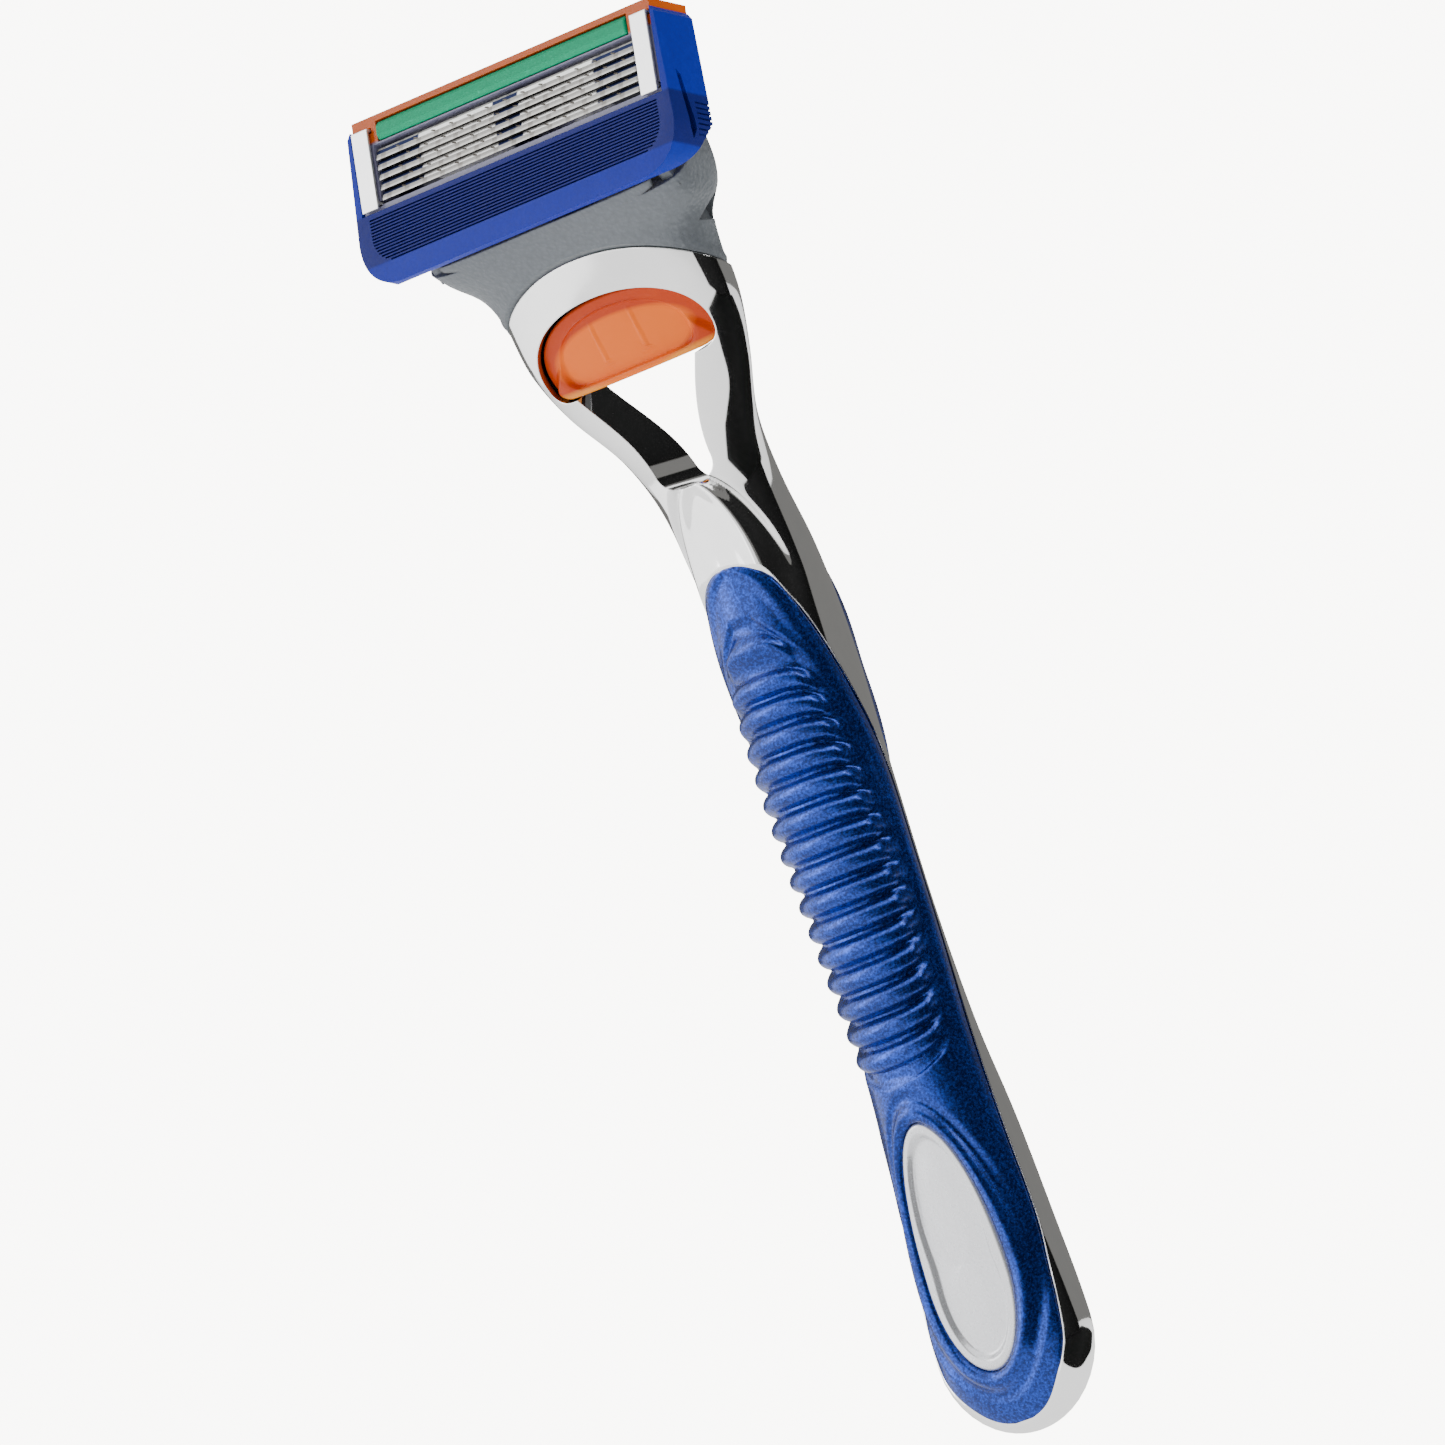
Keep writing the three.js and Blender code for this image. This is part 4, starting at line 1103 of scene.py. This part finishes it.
def build_yoke():
    """The grey yoke: a flaring saddle with a bead along its foot, and its two hooks."""
    heights = [112 + 0.45 * k for k in range(49)]

    def place(z, angle):
        height = z
        for _ in range(3):
            half, front, back, square = sampled(YOKE_ROWS, max(height, YOKE_ROWS[0][0]))
            x = half * bent(math.cos(angle), square)
            y = (front + back) / 2 + (back - front) / 2 * bent(math.sin(angle), square)
            follow = 1 - smooth_step(122, 133, z)
            height = z + (seam_height(x, y) - 122.0) * follow
        above = height - seam_height(x, y)
        bead = 0.16 * bump(above, 0.75, 0.34) - 0.12 * bump(above, 0.2, 0.3)
        grow = 1 + bead / half
        return Vector((x * grow, (y - (front + back) / 2) * grow + (front + back) / 2, height))

    pivot = Matrix.Translation(PIVOT)
    roll = bmesh.new()
    bmesh.ops.create_cone(
        roll, cap_ends=True, segments=144, radius1=ROLL_RADIUS, radius2=ROLL_RADIUS, depth=80)
    bmesh.ops.transform(roll, matrix=pivot @ Matrix.Rotation(math.pi / 2, 4, "Y"), verts=roll.verts)
    swing = pivot @ Matrix.Rotation(math.radians(-FACE_TILT - SWING), 4, "X")
    notch = prism([(-6.3, 123.3), (-2.4, 122.9), (-3, 126.3)], 12.6, 22, ALONG_X)
    shrink = LIP_RADIUS / ROLL_RADIUS
    lip = roll.copy()
    bmesh.ops.scale(lip, vec=(1, shrink, shrink), space=Matrix.Translation(-PIVOT), verts=lip.verts)
    roll = carved(roll, ("INTERSECT", block(-50, 50, PIVOT.y + 2.4, 60, 100, 180)))
    body = carved(
        loft(heights, 160, place),
        ("DIFFERENCE", roll),
        ("DIFFERENCE", lip),
        ("DIFFERENCE", block(-40, 40, -40, UNIT_BACK + 0.4, -1, 40, swing)),
        ("DIFFERENCE", both_sides(notch)),
        ("DIFFERENCE", block(-40, 40, -60, PIVOT.y, 100, 180)),
        ("INTERSECT", seam_cutter(0.12)),
        ("DIFFERENCE", block(-7.1, 7.1, 0, 3.2, -10, 7.5, HEAD)),
        ("DIFFERENCE", block(-2.5, 2.5, -1.6, 2.0, -10, 40, HEAD)),
        ("DIFFERENCE", block(-1.9, 1.9, -3.6, 5, 6.0, 40, HEAD)),
        ("DIFFERENCE", ring_sector(1, 7.55, 31, 130, -1.9, 1.9, pivot)),
    )
    piece("yoke_saddle", body, yoke_plastic(), "yoke", "grey_yoke", "yoke", crease=35)
    arms = ring_sector(3.4, 7.8, 32, 48, 14.5, 15.9, pivot)
    heads = ring_sector(3.0, 4.3, 22, 52, 13.7, 16.7, pivot)
    piece("yoke_hooks", both_sides(joined(arms, heads)), yoke_plastic(), "yoke", "grey_yoke", "yoke")


def coil(radius, wire, turns, low, high, x, y):
    """A close helix of round wire in the head's frame."""
    steps, sides = turns * 28, 10
    bm = bmesh.new()

    def place(i, j):
        turn = 2 * math.pi * turns * j / steps
        lift = lerp(low + wire / 2, high - wire / 2, j / steps)
        out = 2 * math.pi * i / sides
        reach = radius + wire / 2 * math.cos(out)
        return HEAD @ Vector((
            x + reach * math.cos(turn), y + reach * math.sin(turn), lift + wire / 2 * math.sin(out)))

    grid(bm, sides, steps, place)
    return weld(bm)


def build_springs():
    """The plunger's spring and the button's two return springs."""

    made = piece("plunger_coil", coil(1.2, 0.4, 7, -7.4, 4.9, 0, 0), spring_wire(),
                 "handle", "spring_steel", "plunger_spring")
    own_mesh(made)
    for word, side in (("left", -1), ("right", 1)):
        made = piece(f"button_coil_{word}", coil(0.9, 0.3, 6, -6.8, 1.3, side * 5.2, 1.2),
                     spring_wire(), "handle", "spring_steel", f"button_spring_{word}")
        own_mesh(made)


# ------------------------------------------------------------------ cartridge


def fin_half(z):
    """Half length of a fin slot: the rim keeps its width round the lower corners."""
    corner = 2.9
    rise = z + 2.85
    return UNIT_HALF - 1.8 - round_over(rise, corner)


def build_guard():
    """The elastomer guard: rolled rim, row of fins, and end walls with their facets and slits."""
    blank = carved(
        prism(unit_outline(), -1, 20, UNIT @ ALONG_Y),
        ("INTERSECT", prism(unit_profile(), -30, 30, UNIT @ ALONG_X)),
        ("BEVEL", (0.75, 5)),
    )
    fins = None
    for k in range(FIN_COUNT):
        z = FRAME_BOTTOM - 0.75 - FIN_PITCH * k
        half = fin_half(z)
        slot = block(-half, half, -5, UNIT_FACE + 0.42, z - FIN_HALF, z + FIN_HALF, UNIT)
        fins = slot if fins is None else joined(fins, slot)
    head_way = both_sides(ring_sector(2.7, 4.6, 37, 113, 13.4, 17.0, UNIT))
    arm_way = both_sides(ring_sector(3.0, 9.0, 47, 109, 14.2, 16.2, UNIT))
    slits = both_sides(prism(
        [(1.9, 4.9), (2.5, 4.4), (3.6, -1.2), (3.2, -2.2), (2.7, -1.2)], 20.35, 22, UNIT @ ALONG_X))
    facet = both_sides(prism([(20.1, 13), (22, 13), (22, 3.4)], 1.6, 8, UNIT @ ALONG_Y))
    hatch = None
    for k in range(7):
        z = 1.6 - 0.55 * k
        groove = both_sides(block(20.75, 22, 3.9, 7, z - 0.1, z + 0.1, UNIT))
        hatch = groove if hatch is None else joined(hatch, groove)
    body = carved(
        blank,
        ("DIFFERENCE", block(-20.05, 20.05, -5, 20, FRAME_BOTTOM - 0.15, 40, UNIT)),
        ("DIFFERENCE", head_way),
        ("DIFFERENCE", arm_way),
        ("DIFFERENCE", fins),
        ("DIFFERENCE", facet),
        ("DIFFERENCE", slits),
        ("DIFFERENCE", hatch),
    )
    piece("guard_rim", body, guard_elastomer(), "blade_unit", "blue_guard", "guard_overmold", crease=30)


def build_blades():
    """Five blades, each with its row of weld marks."""
    rake = math.radians(BLADE_RAKE)
    down = Vector((0, math.sin(rake), math.cos(rake)))
    under = Vector((0, math.cos(rake), -math.sin(rake)))
    for k in range(5):
        start = Vector((0, UNIT_FACE + 0.08, BLADE_FIRST + BLADE_PITCH * k))
        bm = bmesh.new()
        profile = (
            (0, 0.06), (0.1, 0.1), (0.3, 0.12), (1.25, 0.12), (1.25, 0.0), (0.3, 0.0), (0.1, 0.03))
        points = [start + down * a + under * t for a, t in profile]
        face = bm.faces.new([bm.verts.new((-BLADE_HALF, p.y, p.z)) for p in points])
        made = bmesh.ops.extrude_face_region(bm, geom=[face])
        moved = [v for v in made["geom"] if isinstance(v, bmesh.types.BMVert)]
        bmesh.ops.translate(bm, verts=moved, vec=(2 * BLADE_HALF, 0, 0))
        bmesh.ops.transform(bm, matrix=UNIT, verts=bm.verts)
        bmesh.ops.recalc_face_normals(bm, faces=bm.faces)
        piece(f"blade_edge_{k + 1}", bm, blade_steel(), "blade_unit", "blade_steel", f"blade_{k + 1}")
        dots = bmesh.new()
        for n in range(-6, 7):
            x = WELD_PITCH * n + (WELD_PITCH / 2 if k % 2 else 0.0)
            if abs(x) > 16:
                continue
            spot = start + down * 0.72 + under * -0.012
            turn = Matrix.Translation((x, spot.y, spot.z)) @ Matrix.Rotation(-rake, 4, "X")
            made = bmesh.ops.create_cube(dots, size=1)
            bmesh.ops.scale(dots, verts=made["verts"], vec=(0.55, 0.03, 0.16))
            bmesh.ops.rotate(dots, verts=made["verts"], matrix=Matrix.Rotation(0.35, 3, "Y"))
            bmesh.ops.transform(dots, matrix=UNIT @ turn, verts=made["verts"])
        piece(f"blade_welds_{k + 1}", dots, weld_steel(), "blade_unit", "blade_steel")


def dress_nodes():
    """Finishes for the CAD nodes that stay in view."""
    dress("blade_unit_frame", frame_plastic(), 0.18)
    dress("lubricating_strip", strip_gel(), 0.15)
    for side in ("left", "right"):
        dress(f"clip_{side}", clip_metal(), 0.09)
        dress(f"ejector_{side}", dark_plastic())
    for k in range(5):
        dress(f"blade_support_{k + 1}", blade_steel(), 0.02)
    dress("trimmer_blade", blade_steel(), 0.02)
    dress("trimmer_guard", guard_elastomer(), 0.08)
    dress("dock_core", dark_plastic(), 0.08)
    dress("plunger", dark_plastic(), 0.08)


# ------------------------------------------------------------------ stage


BACKGROUND = 9.0  # brightness of what the camera sees behind everything
SENSOR = 36


def plain(name, colour, strength=0.0):
    """A stage material."""
    g = Graph(name)
    cloud = g.noise(3, 2)
    return g.surface({
        "Base Color": g.mix(cloud, shade(colour, 0.985), rgb(colour)),
        "Roughness": 0.6,
        "Specular IOR Level": 0.1,
        "Emission Color": rgb(colour),
        "Emission Strength": strength,
    })


def card(name, size, place, target, material, camera=False):
    """A flat stage card that faces a point."""
    bm = bmesh.new()
    made = bmesh.ops.create_grid(bm, x_segments=1, y_segments=1, size=0.5)
    bmesh.ops.scale(bm, verts=made["verts"], vec=(size[0], size[1], 1))
    facing = (Vector(target) - Vector(place)).to_track_quat("Z", "Y").to_matrix().to_4x4()
    bmesh.ops.transform(bm, matrix=Matrix.Translation(place) @ facing, verts=bm.verts)
    mesh = bpy.data.meshes.new(name)
    bm.to_mesh(mesh)
    bm.free()
    mesh.materials.append(material)
    made = bpy.data.objects.new(name, mesh)
    bpy.context.scene.collection.objects.link(made)
    made.visible_camera = camera
    made.visible_shadow = False
    made.visible_diffuse = False
    return made


def around(azimuth, elevation, distance):
    """A place seen from the razor's middle; azimuth 0 is the shaving side, 90 the razor's right."""
    a, e = math.radians(azimuth), math.radians(elevation)
    return Vector((math.sin(a) * math.cos(e), -math.cos(a) * math.cos(e), math.sin(e))) * distance


def area_light(name, place, target, size, power):
    """A soft rectangular light that faces a point."""
    data = bpy.data.lights.new(name, "AREA")
    data.shape = "RECTANGLE"
    data.size, data.size_y = size
    data.energy = power
    made = bpy.data.objects.new(name, data)
    made.location = place
    made.rotation_mode = "QUATERNION"
    made.rotation_quaternion = (Vector(target) - Vector(place)).to_track_quat("-Z", "Y")
    bpy.context.scene.collection.objects.link(made)


def build_stage():
    """Pale floor, white and black cards for the plating, soft lights, surroundings and camera."""
    settings = bpy.context.scene.razor_stage
    g = Graph("studio", "worlds")
    seen = g.add("ShaderNodeLightPath", output="Is Camera Ray")
    glow = settings.surround + seen * (BACKGROUND - settings.surround)
    air = g.add("ShaderNodeBackground", {}, {"Color": (1, 0.985, 0.95, 1), "Strength": glow})
    g.add("ShaderNodeOutputWorld", {}, {"Surface": air})
    bpy.context.scene.world = g.owner
    target = Vector((-6.0, -4.5, -27.5)) * MM
    view = around(math.degrees(settings.azimuth), math.degrees(settings.elevation), 1.0)

    paper = plain("floor_paper", (0.9, 0.9, 0.9), 1.2)
    floor = card("floor", (3, 3), (0, 0, -0.19), (0, 0, 1), paper, camera=True)
    floor.visible_diffuse = True

    white = plain("card_white", (1, 1, 1), settings.cards)
    card("card_left", (1.5, 1.5), around(-52, 8, 0.75), (0, 0, 0), white)
    card("card_top", (1.2, 1.0), around(20, 80, 0.8), (0, 0, 0), white)
    dark = plain("card_black", (0.004, 0.004, 0.004))
    card("card_front", (0.95, 0.95), around(76, -13, 0.55), (0, 0, 0), dark)
    card("card_low", (0.55, 0.9), (0.36, 0.05, -0.185), (0.36, 0.05, 1), dark)
    card("card_arm", (0.4, 0.3), around(150, 27, 0.6), (0, 0, 0), dark)

    area_light("key", around(-48, 25, 0.7), target, (0.25, 0.6), settings.key)
    area_light("right", around(105, 40, 0.7), target, (0.15, 0.5), settings.key * 0.8)
    area_light("front", around(0, 10, 0.9), target, (0.5, 0.5), settings.key * 0.5)
    area_light("back", around(200, 35, 0.8), target, (0.4, 0.4), settings.key * 0.5)

    level = Vector((math.cos(settings.azimuth), math.sin(settings.azimuth), 0))
    up = view.cross(level)
    right = level * math.cos(settings.roll) - up * math.sin(settings.roll)
    top = level * math.sin(settings.roll) + up * math.cos(settings.roll)
    data = bpy.data.cameras.new("camera")
    data.sensor_width = SENSOR
    data.lens = SENSOR * settings.distance / settings.span
    data.clip_start, data.clip_end = 0.01, 20
    camera = bpy.data.objects.new("camera", data)
    camera.matrix_world = Matrix.Translation(target + view * settings.distance) @ Matrix(
        (right, top, view)).transposed().to_4x4()
    bpy.context.scene.collection.objects.link(camera)
    bpy.context.scene.camera = camera


# ------------------------------------------------------------------ add-on


class RazorSizes(bpy.types.PropertyGroup):
    """Sizes of the fine shapes, in millimetres."""

    rib_count: bpy.props.IntProperty(
        name="Ribs", description="Ribs on the front grip", default=15, min=3)
    rib_first: bpy.props.FloatProperty(
        name="Lowest rib", description="Height of the lowest rib above the tail, mm", default=39.6)
    rib_pitch: bpy.props.FloatProperty(
        name="Rib pitch", description="Distance from rib to rib, mm", default=2.77, min=1.0)
    rib_height: bpy.props.FloatProperty(
        name="Rib height", description="Height of a rib over the valley, mm", default=0.5, min=0.0)
    lip_height: bpy.props.FloatProperty(
        name="Lip height", description="Height of the lip along the grip's edge, mm", default=0.22)
    lip_radius: bpy.props.FloatProperty(
        name="Edge radius", description="Rounding of the grip's edge, mm", default=0.45, min=0.05)


def colour_property(name, what, default):
    return bpy.props.FloatVectorProperty(
        name=name, description=f"Colour of {what}", subtype="COLOR", size=3, min=0, max=1, default=default)


class RazorColours(bpy.types.PropertyGroup):
    """Colours of the moulded pieces."""

    grip: colour_property("Grip", "the grips", (0.006, 0.034, 0.26))
    guard: colour_property("Guard", "the cartridge's guard", (0.003, 0.016, 0.34))
    button: colour_property("Button", "the release button", (0.55, 0.045, 0.0))
    cartridge: colour_property("Cartridge", "the cartridge frame", (0.65, 0.1, 0.0))
    strip: colour_property("Strip", "the lubricating strip", (0.0, 0.42, 0.2))
    yoke: colour_property("Yoke", "the yoke", (0.13, 0.145, 0.16))
    badge: colour_property("Badge", "the badge", (0.7, 0.71, 0.74))


def angle_property(name, what, degrees):
    return bpy.props.FloatProperty(
        name=name, description=f"Angle of {what}", subtype="ANGLE", default=math.radians(degrees))


class RazorStage(bpy.types.PropertyGroup):
    """Camera and light."""

    azimuth: angle_property("Azimuth", "the camera round the razor", 37.0)
    elevation: angle_property("Elevation", "the camera above the level", -1.8)
    roll: angle_property("Roll", "the camera about its own line of sight", 20.1)
    distance: bpy.props.FloatProperty(
        name="Distance", description="Camera to the razor", default=1.6, unit="LENGTH")
    span: bpy.props.FloatProperty(
        name="Span", description="Width of the view at the razor", default=0.14307, unit="LENGTH")
    surround: bpy.props.FloatProperty(
        name="Surround", description="Brightness of the surroundings", default=0.22, min=0)
    cards: bpy.props.FloatProperty(
        name="Cards", description="Brightness of the white cards", default=1.5, min=0)
    key: bpy.props.FloatProperty(
        name="Key light", description="Power of the key light", default=1.9, min=0, unit="POWER")


class RAZOR_OT_stage(bpy.types.Operator):
    """Floor, lights, cards and camera"""

    bl_idname = "razor.stage"
    bl_label = "Stage"

    def execute(self, context):
        build_stage()
        return {"FINISHED"}


class RAZOR_OT_handle_shell(bpy.types.Operator):
    """The chrome frame of the handle"""

    bl_idname = "razor.handle_shell"
    bl_label = "Handle Shell"

    def execute(self, context):
        build_handle_shell()
        return {"FINISHED"}


class RAZOR_OT_front_grip(bpy.types.Operator):
    """The ribbed grip"""

    bl_idname = "razor.front_grip"
    bl_label = "Front Grip"

    def execute(self, context):
        build_front_grip()
        return {"FINISHED"}


class RAZOR_OT_rear_grip(bpy.types.Operator):
    """The oval grip on the back"""

    bl_idname = "razor.rear_grip"
    bl_label = "Rear Grip"

    def execute(self, context):
        build_rear_grip()
        return {"FINISHED"}


class RAZOR_OT_badge(bpy.types.Operator):
    """The plain badge"""

    bl_idname = "razor.badge"
    bl_label = "Badge"

    def execute(self, context):
        build_badge()
        return {"FINISHED"}


class RAZOR_OT_button(bpy.types.Operator):
    """The button in the head"""

    bl_idname = "razor.button"
    bl_label = "Release Button"

    def execute(self, context):
        build_button()
        return {"FINISHED"}


class RAZOR_OT_yoke(bpy.types.Operator):
    """The saddle that carries the cartridge, and its hooks"""

    bl_idname = "razor.yoke"
    bl_label = "Yoke"

    def execute(self, context):
        build_yoke()
        return {"FINISHED"}


class RAZOR_OT_springs(bpy.types.Operator):
    """The coils inside the head"""

    bl_idname = "razor.springs"
    bl_label = "Springs"

    def execute(self, context):
        build_springs()
        return {"FINISHED"}


class RAZOR_OT_guard(bpy.types.Operator):
    """The cartridge's elastomer guard"""

    bl_idname = "razor.guard"
    bl_label = "Guard"

    def execute(self, context):
        build_guard()
        return {"FINISHED"}


class RAZOR_OT_blades(bpy.types.Operator):
    """The five blades and their weld marks"""

    bl_idname = "razor.blades"
    bl_label = "Blades"

    def execute(self, context):
        build_blades()
        return {"FINISHED"}


class RAZOR_OT_finishes(bpy.types.Operator):
    """Finishes for the plainer pieces"""

    bl_idname = "razor.finishes"
    bl_label = "Finishes"

    def execute(self, context):
        dress_nodes()
        return {"FINISHED"}


OPERATORS = (
    RAZOR_OT_stage,
    RAZOR_OT_handle_shell,
    RAZOR_OT_front_grip,
    RAZOR_OT_rear_grip,
    RAZOR_OT_badge,
    RAZOR_OT_button,
    RAZOR_OT_yoke,
    RAZOR_OT_springs,
    RAZOR_OT_guard,
    RAZOR_OT_blades,
    RAZOR_OT_finishes,
)


class RAZOR_PT_razor(bpy.types.Panel):
    """Lists the razor's operators and settings."""

    bl_label = "Cartridge Razor"
    bl_space_type = "VIEW_3D"
    bl_region_type = "UI"
    bl_category = "Razor"

    def draw(self, context):
        for group in ("razor_sizes", "razor_colours", "razor_stage"):
            settings = getattr(context.scene, group)
            for name in settings.bl_rna.properties.keys():
                if name not in ("rna_type", "name"):
                    self.layout.prop(settings, name)
        for made in OPERATORS:
            self.layout.operator(made.bl_idname)


GROUPS = {"razor_sizes": RazorSizes, "razor_colours": RazorColours, "razor_stage": RazorStage}


def register():
    for made in (*GROUPS.values(), *OPERATORS, RAZOR_PT_razor):
        bpy.utils.register_class(made)
    for name, group in GROUPS.items():
        setattr(bpy.types.Scene, name, bpy.props.PointerProperty(type=group))


def unregister():
    for name in GROUPS:
        delattr(bpy.types.Scene, name)
    for made in (RAZOR_PT_razor, *reversed(OPERATORS), *GROUPS.values()):
        bpy.utils.unregister_class(made)


def main():
    register()
    for made in OPERATORS:
        getattr(bpy.ops.razor, made.bl_idname.split(".")[1])()


if __name__ == "__main__":
    main()
